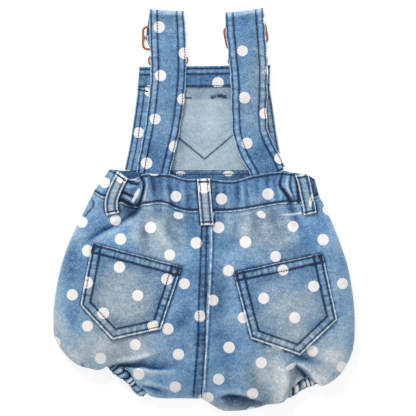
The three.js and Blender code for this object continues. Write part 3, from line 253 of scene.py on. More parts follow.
# Folds. Each is a line of points. left and right are how far the cloth sinks to either
# hand of the line, depth is how far it sinks, or rises where it is negative, and dark is the shade painted
# along it, or its paleness where that is negative.
SEAT_FOLDS = [
    # Left leg: the overhanging fold, the dark hollow under it, and the ridges of the cloth below
    crease(
        (-97, -158.5, 1.2, 2, 1.5, 0.8), (-85, -155.5, 1.1, 3, 4, 1.3), (-71, -153.5, 1.0, 4, 2.6, 0.4),
        (-57, -149.8, 1.4, 5, 1.2, 0), (-45, -145.5, 2.4, 6, 0.5, 0), (-33, -140.5, 3, 7, 0.1, 0),
        (-24, -137, 4, 6, 0, 0),
    ),
    crease(
        (-84, -155.5, 1.5, 1.5, 2, 1.6), (-74.7, -157, 2.5, 1.1, 2.6, 1.8), (-62, -157, 5, 1.2, 2.8, 1.3),
        (-49, -158.2, 8, 1.4, 2.8, 1.1), (-38, -158.2, 9, 1.8, 2.2, 0.8), (-29, -156, 8, 3, 1.2, 0.3),
        (-20, -152, 5, 4, 0, 0),
    ),
    crease(
        (-100, -155.5, 3, 1.8, -0.4, -0.3), (-83.5, -151.8, 3.5, 1.4, -1.2, -0.8),
        (-70.5, -149.8, 4, 1.4, -1.2, -0.7), (-56, -146, 4, 1.6, -0.7, -0.35), (-44, -141, 4, 2.5, -0.3, 0),
        (-32, -135.5, 4, 3, 0, 0),
    ),
    crease(
        (-75, -159, 1.4, 3, -0.6, -0.6), (-60, -159.6, 1.6, 4, -1.2, -0.8), (-48, -161, 1.8, 4, -1.0, -0.5),
        (-36, -162, 2.4, 5, -0.6, -0.2), (-24, -162, 4, 6, 0, 0),
    ),
    crease(
        (-60, -176.5, 1.2, 3, 1.2, 1.2), (-52, -178, 1.4, 4.5, 2.2, 1.5), (-43, -181, 1.8, 5, 1.6, 0.8),
        (-34, -185, 3, 4, 0, 0),
    ),
    crease(
        (-61, -173.8, 3, 1.3, -0.8, -0.6), (-49, -174.8, 3, 1.4, -1.2, -0.7),
        (-37, -178.5, 3, 1.8, -0.8, -0.4), (-28, -183, 4, 3, 0, 0),
    ),
    crease((-122, -152, 2, 2, 0, 0), (-121, -156, 1.4, 1.6, 2.5, 1.6), (-120, -160, 2, 2, 2.5, 1.6)),
    crease((-119, -124, 8, 8, 0, 0), (-101, -138, 8, 8, -1.4, 0), (-86, -146, 6, 6, 0, 0)),
    crease((-98, -112, 6, 5, 0, 0), (-110, -134, 6, 5, 1, 0.3), (-117, -150, 5, 4, 0, 0)),
    # Left waist: the fold from the bunch down to the pocket's corner, and its gathers
    crease(
        (-64, 1.6, 0.9, 2, 2, 1.2), (-76, -8.4, 0.9, 3, 2.2, 1.1), (-90.4, -17, 0.9, 3.6, 2.2, 1.1),
        (-104.7, -24, 1.2, 4.5, 2, 1.0), (-113.5, -30, 2.5, 6, 1.6, 1.1), (-123, -36, 4, 6, 0, 0),
    ),
    crease(
        (-61, -1.5, 3, 1.5, -0.6, -0.6), (-73.5, -11.5, 4, 1.7, -1.4, -0.8), (-88, -20.5, 5, 2, -1.4, -0.5),
        (-102, -27.5, 5, 2.5, -0.8, -0.2), (-110, -33, 4, 4, 0, 0),
    ),
    crease((-62, -2, 3, 4, 0.4, 0), (-70, -16, 5, 8, -1.3, -0.5), (-66, -34, 8, 10, 0, 0)),
    crease(
        (-42, -3, 4, 5, 0.4, 0.3), (-36, -14, 4, 6, 1, 0.1), (-27, -29, 5, 7, 1.4, 0.2),
        (-19, -44, 6, 8, 0, 0),
    ),
    crease(
        (-54, -3, 4, 4, 0, -0.3), (-47, -16, 6, 5, -1.0, -0.4), (-38, -32, 7, 5, -0.8, -0.5),
        (-32, -46, 6, 6, 0, 0),
    ),
    crease((-56, -8, 3, 3, 0, 0), (-59, -26, 4, 5, 1.4, 0.5), (-56, -42, 4, 5, 0, 0)),
    crease((-28, 0, 3, 3, 0.4, 0.2), (-24, -14, 3.5, 4, 1.2, 0.4), (-20, -28, 4, 4, 0, 0)),
    crease((-12, -4, 3, 3, 0.4, 0.3), (-10, -18, 3.5, 4, 1, 0.3), (-9, -32, 4, 4, 0, 0)),
    # Left side and the middle
    crease((-118, -16, 5, 5, 0, 0), (-131, -44, 6, 6, 1.2, 0.2), (-139, -66, 6, 6, 0, 0)),
    crease((-127, -88, 6, 7, 0, 0), (-131, -108, 6, 7, 1.2, 0.3), (-133, -128, 6, 7, 0, 0)),
    crease((-38, -124, 6, 7, 0, 0), (-24, -112, 7, 7, 1.5, 0.3), (-9, -100, 7, 7, 0, 0)),
    # Right waist and its gathers
    crease((88, 2, 4, 5, 0.6, 0.5), (95, -14, 5, 7, 2.2, 0.3), (104, -34, 7, 9, 0, 0)),
    crease((38, -5, 4, 5, 0.4, 0.3), (31, -24, 6, 7, 2, 0.3), (24, -44, 7, 9, 0, 0)),
    crease((52, -3, 3, 3, 0.4, 0.4), (51, -16, 4, 5, 1.2, 0.25), (50, -32, 4, 5, 0, 0)),
    crease((68, 0, 3, 3, 0.4, 0.3), (71, -14, 4, 5, 1.2, 0.2), (75, -32, 4, 5, 0, 0)),
    crease((18, -6, 3, 3, 0.4, 0.3), (17, -16, 4, 4, 0.8, 0.3), (16, -28, 4, 4, 0, 0)),
    crease((60, -4, 4, 4, 0, 0), (62, -18, 5, 5, -1.1, -0.2), (65, -36, 5, 5, 0, 0)),
    crease((80, 2, 3, 3, 0, 0), (86, -14, 4, 4, -1.1, -0.2), (93, -32, 4, 4, 0, 0)),
    crease((112, 4, 4, 4, 0.3, 0.2), (118, -10, 5, 5, 1.1, 0.1), (125, -28, 5, 5, 0, 0)),
    crease((20, -62, 7, 8, 0, 0), (17, -92, 8, 8, 1.3, 0.1), (14, -122, 8, 8, 0, 0)),
    crease((141, -68, 6, 6, 0, 0), (138, -96, 6, 6, 1.1, 0.1), (136, -122, 6, 6, 0, 0)),
    # Right leg: the two lobes of the arch over the casing, and the under fold at the crotch
    crease(
        (64, -146, 6, 6, 0, 0), (77, -157, 6, 11, -1.4, -0.4), (80, -171, 5, 13, -2.4, -0.75),
        (76.5, -186, 4.5, 12, -1.6, -0.6), (72, -193, 6, 4, -0.4, -0.4),
    ),
    crease(
        (91, -154, 1.2, 1.2, 0.5, 0.2), (89, -162, 1.4, 1, 1.2, 0), (86.5, -172, 1.6, 1, 1.6, 0.1),
        (83, -183, 1.8, 1, 1.6, 0.9), (79, -191, 1.6, 1, 0.6, 0.6),
    ),
    crease(
        (91.5, -153.6, 3.5, 1.2, -0.6, -0.6), (99.5, -158, 4, 1.2, -1.6, -0.9),
        (106, -163.5, 5, 1.4, -1.8, -0.9), (112, -171, 5, 1.6, -1.2, -0.7), (116, -176, 4, 2, -0.4, -0.3),
    ),
    crease(
        (91.5, -156.2, 0.9, 1.2, 1, 0.9), (97, -160, 1, 2.6, 2, 2.0), (101, -165, 1, 3.2, 2, 2.4),
        (103, -170.5, 1, 3, 1, 2.0),
    ),
    crease(
        (86, -147, 4, 4, 0, 0), (102, -149.5, 4, 4, 1.6, 0.7), (118, -154, 5, 4, 0.8, 0.4),
        (130, -159, 5, 4, 0, 0),
    ),
    crease((44, -148, 6, 7, 0, 0), (49, -168, 7, 8, 1.6, 0.4), (58, -186, 7, 7, 0, 0.2)),
    crease(
        (15, -188.5, 1, 3, 0.6, 0.4), (20, -186.2, 1.1, 8, 2.4, 1.0), (28, -185.2, 1.1, 10, 3.2, 1.1),
        (40, -187, 1.1, 9, 3, 1.1), (49, -190.2, 1.1, 7, 2, 1.0), (58, -193.2, 1, 4, 0.8, 0.8),
    ),
    crease(
        (10, -182, 4, 4, 0, 0), (28, -182.8, 5, 1.6, -1, -0.4), (42, -185, 4, 1.6, -0.9, -0.4),
        (56, -190, 4, 2, -0.3, -0.2),
    ),
    crease((77, -5, 1, 0.9, -0.2, -1.2), (87, -5, 1.1, 1, -0.5, -3.2), (97, -3.6, 1.1, 1, -0.4, -3)),
]
# Hollows that end in a leg casing: a wedge from its apex, opening between two lines
NOTCHES = table(
    "apex_x apex_y first_x first_y second_x second_y depth",
    (91.7, -155.5, 84, -185, 112, -173.5, 9), (-80, -156, -99, -158.5, -70, -172, 3.5),
)
BAND_FOLDS = [
    # The bunch beside the left belt loop
    crease(
        (-65, 34.5, 0.9, 0.9, 1.5, 1.2), (-62, 30.5, 1.1, 1.0, 3.5, 2.6), (-60, 25, 1.3, 0.9, 4, 3),
        (-61.3, 16, 1.1, 1.0, 4, 3), (-64, 8, 1.6, 1.3, 4, 2.6), (-66, 3, 1.8, 1.2, 3, 2),
    ),
    crease(
        (-57.6, 31, 0.9, 0.9, -0.5, -1.2), (-56.9, 24.5, 1.0, 0.9, -0.9, -1.6),
        (-58.4, 16, 1.0, 0.9, -0.9, -1.6), (-60, 9, 1.0, 0.9, -0.5, -1.2),
    ),
    crease((-65, 20.6, 1.2, 1.2, -1, 0), (-67.8, 13, 1.5, 1.5, -1.8, 0), (-70.6, 7.6, 1.2, 1.2, -0.6, 0)),
    crease((-83.5, 18.5, 1, 1, 2.2, 1.6), (-77, 15.5, 1, 1.3, 3, 2), (-70.5, 12.5, 1, 1, 2, 1.4)),
    crease((-79, 13.5, 1, 1, -1.4, -1), (-74, 9.5, 1.3, 1.3, -2.4, -1.5), (-69, 4.5, 1, 1, -0.8, -0.8)),
    crease((-82, 10.5, 1, 1, 2, 1.6), (-77, 6.5, 1.4, 1.4, 3, 2.6), (-71, 2.5, 1.2, 1.2, 2, 1.8)),
    crease(
        (-79, 24, 1.6, 1.6, -0.8, -0.4), (-74, 21.5, 2, 1.8, -2.2, -0.8), (-69.5, 24, 1.6, 1.6, -1, -0.4),
    ),
    crease((-76, 28, 0.9, 0.9, 0.8, 1.6), (-70.5, 25.4, 0.9, 0.9, 1.6, 2), (-65, 25.5, 0.9, 0.9, 1.4, 1.8)),
    crease(
        (-73, 31, 1.3, 1.3, -0.8, -1.8), (-69, 28.8, 1.5, 1.4, -1.8, -2.8), (-65.2, 29.4, 1.3, 1.3, -1, -2),
    ),
    crease((-86, 7, 1.4, 1.4, 2, 2.4), (-84, 3, 1.8, 1.6, 3, 3), (-82.5, -3, 1.4, 1.4, 2, 2.6)),
    crease((-97, 36, 3, 3, 0, 0), (-101, 26, 3, 3, 0.9, 0.5), (-105, 18, 3, 3, 0, 0)),
    crease((-52, 33, 2, 2.6, 0.2, 0.2), (-50, 20, 2.6, 3, 1.3, 0.7), (-49, 8, 2.4, 3, 0, 0.2)),
    crease((-44, 34, 2.4, 3, 0.4, 0.2), (-43.5, 22, 2.6, 3, 0.9, 0.3), (-43, 8, 2.6, 3, 0.4, 0.3)),
    crease((-36, 33, 3, 3, 0.2, 0), (-34, 20, 3, 3, 1.3, 0.4), (-31, 4, 3, 3, 0.8, 0.6)),
    crease((-27, 31, 2.4, 3, 0.4, 0.3), (-25.5, 16, 2.4, 3, 0.9, 0.4), (-24, 0, 2.4, 3, 0.3, 0.3)),
    crease((-16, 29, 2.6, 3, 0.2, 0.2), (-15, 14, 3, 3, 1.2, 0.5), (-14, 0, 3, 3, 0.5, 0.5)),
    crease((12, 29, 2.6, 3, 0.3, 0.2), (12.5, 15, 2.6, 3, 1.2, 0.5), (13, 0, 2.6, 3, 0.5, 0.3)),
    crease((22, 27, 2.6, 3, 0.2, 0), (21, 14, 3, 3, 1, 0.3), (20, 0, 3, 3, 0.5, 0.4)),
    crease((33, 29, 2.6, 3, 0.5, 0.4), (34, 15, 2.6, 3, 1.4, 0.6), (34, 0, 2.6, 3, 0.5, 0.4)),
    crease((44, 31, 3, 3, 0, 0), (43, 16, 3, 3, 0.9, 0.2), (42, 2, 3, 3, 0.4, 0.4)),
    crease((52, 33, 2.6, 3, 0.3, 0.2), (53, 18, 2.6, 3, 1.1, 0.3), (54, 6, 2.6, 3, 0.4, 0.3)),
    crease((63, 34, 3, 3, 0.2, 0), (62, 20, 3, 3, 1, 0.2), (62, 5, 3, 3, 0.6, 0.5)),
    crease((72, 36, 2.4, 2.8, 0.3, 0.3), (72, 22, 2.4, 2.8, 1, 0.5), (75, 8, 2.4, 2.8, 0.4, 0.4)),
    # The pleat beside the right belt loop
    crease(
        (79, 36.5, 1.2, 1.2, 0.6, 0.4), (76.7, 30, 1.4, 1.2, 2.4, 1.0), (76.2, 23, 1.6, 1.4, 3.6, 1.8),
        (82.4, 14.5, 2, 1.4, 4, 2.6), (86.7, 7.5, 2.6, 1.6, 4, 3),
    ),
    crease((84, 34, 2, 1.8, -0.6, -0.9), (83, 24, 2.2, 2, -1.6, -1.5), (87, 14, 2.2, 2, -1.2, -1.2)),
    crease((87.5, 34, 1.2, 1.4, 0.8, 0.8), (86.5, 24, 1.3, 1.5, 2, 1.2), (90, 11, 1.5, 1.5, 2, 1.4)),
    crease((93, 36, 1.4, 1.4, 0.8, 1), (93.5, 22, 1.4, 1.4, 1.6, 1.4), (95, 6, 2, 1.6, 2.6, 2)),
    crease((109, 32, 2, 2, 0.3, 0.4), (110, 24, 2.2, 2.2, 1, 1), (113, 14, 2, 2, 0.4, 0.6)),
]
# Washed patches and painted shade: soft ovals that are paler (or darker, where light is negative) and greyer
# by tone
WASHES_AND_SHADE = table(
    "x y wide high turn light tone",
    # The seat's left half: grey wear under the band, painted shade by the bunch and over the pocket, a blue
    # flank, a pale pocket and a pale leg bubble.
    (-42, -20, 22, 24, 30, 0.5, 0.75), (-22, -32, 5, 16, 30, 0.5, 0), (-60, -32, 9, 14, 0, 0, 0.5),
    (-70, 0, 12, 8, 0, -1, 0.25), (-105, -18, 16, 10, 30, -0.5, 0), (-133, -55, 12, 28, 8, -1.25, 0),
    (-60, -42, 34, 7, -14, -0.5, 0), (-82, -92, 30, 30, 0, 0.75, 1), (-20, -100, 9, 45, -4, -0.5, 0),
    (-145, -115, 9, 25, 5, 0.75, 0.5), (-92, -140, 38, 14, 0, 1.25, 1), (-130, -148, 16, 8, -35, 0.75, 0.5),
    (-40, -175, 28, 14, 0, 0, -0.5),
    # Its right half: blue beside the seam, grey wear, painted shade above the pocket, a worn leg bubble and
    # painted shade under the crotch fold.
    (14, -90, 9, 60, 0, -0.75, 0), (38, -12, 15, 16, 0, 1, 0.25), (66, -22, 22, 20, 0, 0.25, 1),
    (110, -18, 13, 24, 15, 0, -0.5), (95, -40, 22, 9, 12, -1.25, 0), (48, -56, 14, 8, 12, -0.75, 0),
    (141, -55, 8, 26, 0, -0.5, 0), (85, -100, 28, 26, 10, 0.75, 0.5), (85, -130, 28, 12, 10, 0.75, 0.5),
    (140, -112, 8, 32, 0, 0.25, 0), (128, -150, 20, 14, -20, 1.5, 0.75),
    (116, -168, 14, 9, -40, 1.25, 0.75), (92, -170, 6, 12, -12, 2, 1), (66, -168, 18, 22, -12, 1, 1),
    (24, -160, 10, 28, 0, -0.75, 0), (38, -195, 22, 7, 0, -1, 1),
    # The back waistband: its pale left end, and blue in the gathers beside the loops.
    (-104, 26, 12, 12, 0, 0.5, 0), (-50, 28, 16, 10, 0, -1, 0), (-78, 8, 10, 10, 0, -0.75, 0),
    (-4, 20, 8, 12, 0, -0.75, 0), (14, 22, 20, 12, 0, -0.5, 0), (62, 34, 12, 9, 0, -0.75, 0),
    (76, 20, 14, 12, 0, 0, -0.5),
    # Straps and bib: painted shade at the straps' folds, darker at their feet, and painted shade on the bib
    # beside the left strap.
    (-36, 200, 24, 10, 0, -1.5, 0.25), (36, 200, 20, 9, 0, -1, 0.25), (-44, 140, 14, 20, 0, 0.25, 0.25),
    (58, 130, 12, 45, 0, 0.25, 0.5), (-24, 60, 6, 18, 0, -1.25, 0), (-22, 100, 5, 40, 0, -0.5, 0),
    (-48, 52, 20, 14, 0, -0.75, 0), (62, 52, 14, 16, 0, -0.75, 0),
)
# Printed dots, charted from above, and the even net of dots on the sides that are not seen
DOT_RADIUS = 5.6
DOTS = {
    "left": marks(
        (-53.3, -17.9), (-83.3, -29.5), (-7.7, -33.3), (-34.2, -45.2), (-116, -41.2), (-19.6, -73.9),
        (-131.3, -85), (-4, -106), (-116, -116), (-36, -118.7), (-68.4, -134.5), (-25.4, -144.2),
        (-103, -148.5), (-65.2, -164.1), (-28.6, -177.1), (-88.5, -10.5), (-122, -12.5), (-149, -133),
        (0, -189),
    ),
    "right": marks(
        (14.6, -17.9), (41.4, -32.5), (89, -16.8), (118.9, -30.1), (71.4, -46.8), (24.4, -60.9),
        (138.3, -73.9), (9, -90.3), (39, -107.5), (25, -137.3), (108, -141), (57, -152.5), (137.7, -157.2),
        (14.6, -169.1), (48.6, -183.7), (124.6, 0), (4, -188), (48, -203),
    ),
    "pocket_left": marks(
        (-84, -57.5), (-37, -69.5), (-116, -73.1), (-66, -85.5), (-100, -103), (-50.6, -115.5),
    ),
    "pocket_right": marks((78.8, -60.5), (109, -76.5), (90, -107.5), (59.5, -88.5)),
    "band": marks((-28, 13.1), (17.5, 10.5), (64, 15.5), (-99.3, 26.9), (-50, 38.5)),
    "front_band": marks((-42, 14), (-8, 18), (40, 16), (-70, 20), (74, 20), (-98, 24), (102, 22)),
    "loop_left": marks((-82, 32)),
    "loop_centre": marks((0, 21.5)),
    "loop_right": marks((150, 10)),
    "bib_facing": marks((14, 127.1), (-54.5, 118.9), (-65.6, 77.2), (52, 138)),
    "strap_left": marks(
        (-45, 182.7), (-20, 156.5), (-43.5, 134.2), (-21.2, 110.5), (-49, 90.8), (-29.4, 63), (-57.5, 46.5),
    ),
    "strap_right": marks(
        (38.5, 159), (40.5, 112), (43, 66.5), (64.5, 189.5), (67, 139.5), (61, 96.5), (76, 51.5),
    ),
}
# What shows of the dots that go into a fold
SLIVERS = {
    "left": table("x y wide high turn", (-25.6, -5.8, 5, 3.8, -12)),
    "right": table(
        "x y wide high turn",
        (86.6, -156.4, 5.6, 2.7, 30), (72.6, -137.6, 5.8, 2, -19), (57.3, -5, 4.8, 3.3, -25),
    ),
    "band": table("x y wide high turn", (-68, 14, 7.6, 2, 62)),
    "loop_right": table("x y wide high turn", (106.8, 9, 6.2, 1.7, 82)),
    "front_band": table("x y wide high turn", (-23.5, 36.8, 5, 2.4, 0), (24.5, 36.2, 5.6, 3, 0)),
}
# Stitches at the end of the scoop pocket, by the left side seam
SCOOP_ROW = np.array([(-120, -8), (-116, -2.5), (-111.5, 2.5), (-110.2, 6), (-111.5, 9)])
# The frayed edge above the bunch of cloth beside the left belt loop
FRAYED_CURL = ((-80, 37.5), (-75, 32.5), (-70.5, 29.6), (-66.5, 28.3), (-64.6, 29.6))
NET_SPACING = 32.5
# A loose end of thread at the right pocket's corner
LOOSE_END = ((106.5, -43.5), (109.5, -42.5), (112, -44.5), (112.5, -48))


def smooth(share: Array | float) -> Array:
    """Eases a share from 0 to 1, level at both ends."""
    share = np.clip(share, 0, 1)
    return share * share * (3 - 2 * share)


def mix(first: Array | float, second: Array | float, share: Array | float) -> Array:
    """Blends two values by a share."""
    return first + (second - first) * share


def bell(value: Array | float, wide: Array | float, power: int = 2) -> Array:
    """A soft bump, 1 where the value is nought and next to nothing beyond its width."""
    return np.exp(-((value / wide) ** power))


def limited(light: Array) -> Array:
    """Keeps a paleness within what the denim can show."""
    return np.clip(light, -LIGHT_LIMIT, LIGHT_LIMIT)


def turned(x: Array, y: Array, turn: float) -> tuple[Array, Array]:
    """Places read along two axes that are turned by a number of degrees."""
    angle = math.radians(turn)
    return x * math.cos(angle) + y * math.sin(angle), y * math.cos(angle) - x * math.sin(angle)


def run_of(points: Array) -> Array:
    """How far along a line of points each of them is."""
    return np.concatenate([[0], np.cumsum(np.linalg.norm(np.diff(points, axis=0), axis=1))])


def read_off(values: Array, run: Array, places: Array) -> Array:
    """Each column of values read at places along their run."""
    return np.stack([np.interp(places, run, column) for column in values.T], axis=-1)


def eased_down(share: Array) -> Array:
    """Rows of a panel lie closer towards its lower edge."""
    return mix(share, np.sin(share * math.pi / 2), 0.55)


def wander(along: Array, pitch: float, seed: float) -> Array:
    """An uneven wave of about one pitch, as gathers and puckers have, from -1 to 1.

    Args:
        along: places along the seam.
        pitch: the usual length of a wave, in the same unit.
        seed: tells one seam's wave from the next one's.

    Returns:
        The wave's height at each place.
    """
    turn = 2 * math.pi * np.asarray(along) / pitch
    slow = np.sin(turn * 0.37 + 5.1 * seed)
    return 0.6 * np.sin(turn + 1.7 * seed + 1.3 * slow) + 0.4 * np.sin(turn * 0.61 + 2.9 * seed)


def soften(values: Array, cells: float) -> Array:
    """Blurs a grid of values over a number of its cells."""
    for axis in (0, 1):
        count = values.shape[axis]
        steps = np.arange(count)
        weights = bell(steps[:, None] - steps[None, :], cells)
        weights /= weights.sum(axis=1, keepdims=True)
        values = np.moveaxis(np.tensordot(weights, values, (1, axis)), 0, axis)
    return values


class SeamLine:
    """A smooth curve through charted points, read by the share of its length."""

    def __init__(self, points: Array, fine: int = 24) -> None:
        """Runs the curve through its points.

        Args:
            points: one point a row, in two or three dimensions.
            fine: steps between two charted points.
        """
        ends = (2 * points[0] - points[1], 2 * points[-1] - points[-2])
        four = np.vstack([ends[0], points, ends[1]])
        share = np.linspace(0, 1, fine, endpoint=False)[:, None]
        parts = []
        for place in range(len(points) - 1):
            before, first, second, after = four[place : place + 4]
            pairs = ((before, first), (first, second), (second, after))
            gaps = [np.linalg.norm(b - a) ** 0.5 for a, b in pairs]
            out = self._slope(before, first, second, gaps[0], gaps[1]) * gaps[1]
            into = self._slope(first, second, after, gaps[1], gaps[2]) * gaps[1]
            square = -3 * first + 3 * second - 2 * out - into
            cube = 2 * first - 2 * second + out + into
            parts.append(first + out * share + square * share**2 + cube * share**3)
        self.points = np.vstack([*parts, points[-1:]])
        self.run = run_of(self.points)
        self.length = float(self.run[-1])
        self.rows = np.linspace(0, 1, len(self.points))

    @staticmethod
    def _slope(a: Array, b: Array, c: Array, near: float, far: float) -> Array:
        """The curve's slope at the middle one of three points."""
        return (b - a) / near - (c - a) / (near + far) + (c - b) / far

    @classmethod
    def of(cls, rows: Table, x: str = "x", y: str = "y") -> SeamLine:
        """The curve through two columns of a table."""
        return cls(points_of(rows, x, y))

    def at(self, share: Array) -> Array:
        """The points at shares of the curve's length."""
        return read_off(self.points, self.run, np.clip(share, 0, 1) * self.length)

    def column(self, values: Array, share: Array) -> Array:
        """A table's column at shares of the curve's length."""
        place = np.interp(np.clip(share, 0, 1) * self.length, self.run, self.rows)
        return np.interp(place, np.linspace(0, 1, len(values)), values)


def patch(top: Array, low: Array, side: Array, middle: Array, across: Array, down: Array) -> Array:
    """Fills the plan between four edges.

    Args:
        top: points of the upper edge, one for each share across.
        low: points of the lower edge, the same way.
        side: points of the side, one for each share down.
        middle: points of the edge across from it.
        across: the shares across, of the columns.
        down: the shares down, of the rows.

    Returns:
        The grid of plan points, row by row.
    """
    u, v = across[None, :, None], down[:, None, None]
    edges = mix(top[None], low[None], v) + mix(side[:, None], middle[:, None], u)
    corners = mix(mix(top[0], top[-1], u), mix(low[0], low[-1], u), v)
    return edges - corners


def folded(x: Array, y: Array, folds: Sequence[Table]) -> tuple[Array, Array]:
    """How far the cloth sinks at each place, and the shade painted there, by lines of folds.

    Args:
        x: the places.
        y: the places.
        folds: the charted folds.

    Returns:
        The depths, and the painted shades.
    """
    depth, dark = np.zeros_like(x), np.zeros_like(x)
    for rows in folds:
        line = SeamLine.of(rows)
        share = np.linspace(0, 1, max(4, int(line.length / 2.5)))
        points = line.at(share)
        columns = {key: line.column(rows[key], share) for key in ("left", "right", "depth", "dark")}
        best = np.full(x.shape, 1e9)
        found = {key: np.zeros_like(x) for key in (*columns, "hand")}
        reach = 3 * max(columns["left"].max(), columns["right"].max())
        near = (x > points[:, 0].min() - reach) & (x < points[:, 0].max() + reach)
        near &= (y > points[:, 1].min() - reach) & (y < points[:, 1].max() + reach)
        for place in range(len(points) - 1):
            (ax, ay), (dx, dy) = points[place], points[place + 1] - points[place]
            along = np.clip(((x - ax) * dx + (y - ay) * dy) / (dx * dx + dy * dy), 0, 1)
            gap = np.hypot(x - ax - along * dx, y - ay - along * dy)
            closer = near & (gap < best)
            best = np.where(closer, gap, best)
            found["hand"] = np.where(closer, (y - ay) * dx - (x - ax) * dy, found["hand"])
            for key, values in columns.items():
                found[key] = np.where(closer, mix(values[place], values[place + 1], along), found[key])
        width = np.where(found["hand"] > 0, found["left"], found["right"])
        inside = near & (width > 0)
        width = np.where(inside, width, 1)
        depth += np.where(inside, found["depth"] * bell(best, width), 0)
        dark += np.where(inside, found["dark"] * np.exp(-((best / width / 0.85) ** 2)), 0)
    return depth, dark


def notch(x: Array, y: Array) -> Array:
    """How far the cloth sinks in the wedges that end in the leg casings."""
    total = np.zeros_like(x)
    for apex_x, apex_y, first_x, first_y, second_x, second_y, depth in zip(*NOTCHES.values()):
        inside = []
        for end_x, end_y, hand in ((first_x, first_y, 1), (second_x, second_y, -1)):
            length = math.hypot(end_x - apex_x, end_y - apex_y)
            dx, dy = (end_x - apex_x) / length, (end_y - apex_y) / length
            inside.append(hand * ((y - apex_y) * dx - (x - apex_x) * dy) / 4)
        total += depth * smooth(np.minimum(*inside) + 0.35)
    return total


def across_grid(outer: Array, rows: bool) -> Array:
    """How far each point is along its row, or down its column, in millimetres."""
    axis = 1 if rows else 0
    steps = np.linalg.norm(np.diff(outer, axis=axis), axis=2)
    start = np.zeros_like(np.take(steps, [0], axis=axis))
    return np.concatenate([start, np.cumsum(steps, axis=axis)], axis=axis)


def normals_of(outer: Array) -> Array:
    """The unit normals of a grid of points."""
    along = np.gradient(outer, axis=1)
    down = np.gradient(outer, axis=0)
    turned = np.cross(along, down)
    return turned / np.maximum(np.linalg.norm(turned, axis=2, keepdims=True), 1e-9)


def net_gap(plan: Array, turn: float, start: Pair) -> Array:
    """The gap to the nearest dot of an even square net, turned in degrees, from a start."""
    along, aside = turned(plan[..., 0] - start[0], plan[..., 1] - start[1], turn)
    first, second = along / NET_SPACING, aside / NET_SPACING
    return np.hypot(first - np.round(first), second - np.round(second)) * NET_SPACING - DOT_RADIUS


def chart_gap(plan: Array, chart: str) -> Array:
    """The gap from each place to the nearest dot of a chart, below 0 inside it."""
    rows = DOTS[chart]
    x = plan[..., 0, None] - rows["x"]
    y = plan[..., 1, None] - rows["y"]
    sizes = DOT_RADIUS + 0.2 * np.sin(rows["x"] * 0.37 + rows["y"] * 0.61)
    gap = (np.hypot(x, y) - sizes).min(axis=-1)
    for px, py, wide, high, turn in zip(*SLIVERS.get(chart, {}).values()):
        u, v = turned(plan[..., 0] - px, plan[..., 1] - py, turn)
        gap = np.minimum(gap, (np.hypot(u / wide, v / high) - 1) * min(wide, high))
    return gap


class Weave(Enum):
    """Which way a panel's cloth shows its right side."""

    ONE_FACE = "right side out, wrong side in"
    BOTH_FACES = "two layers, right side out on both"


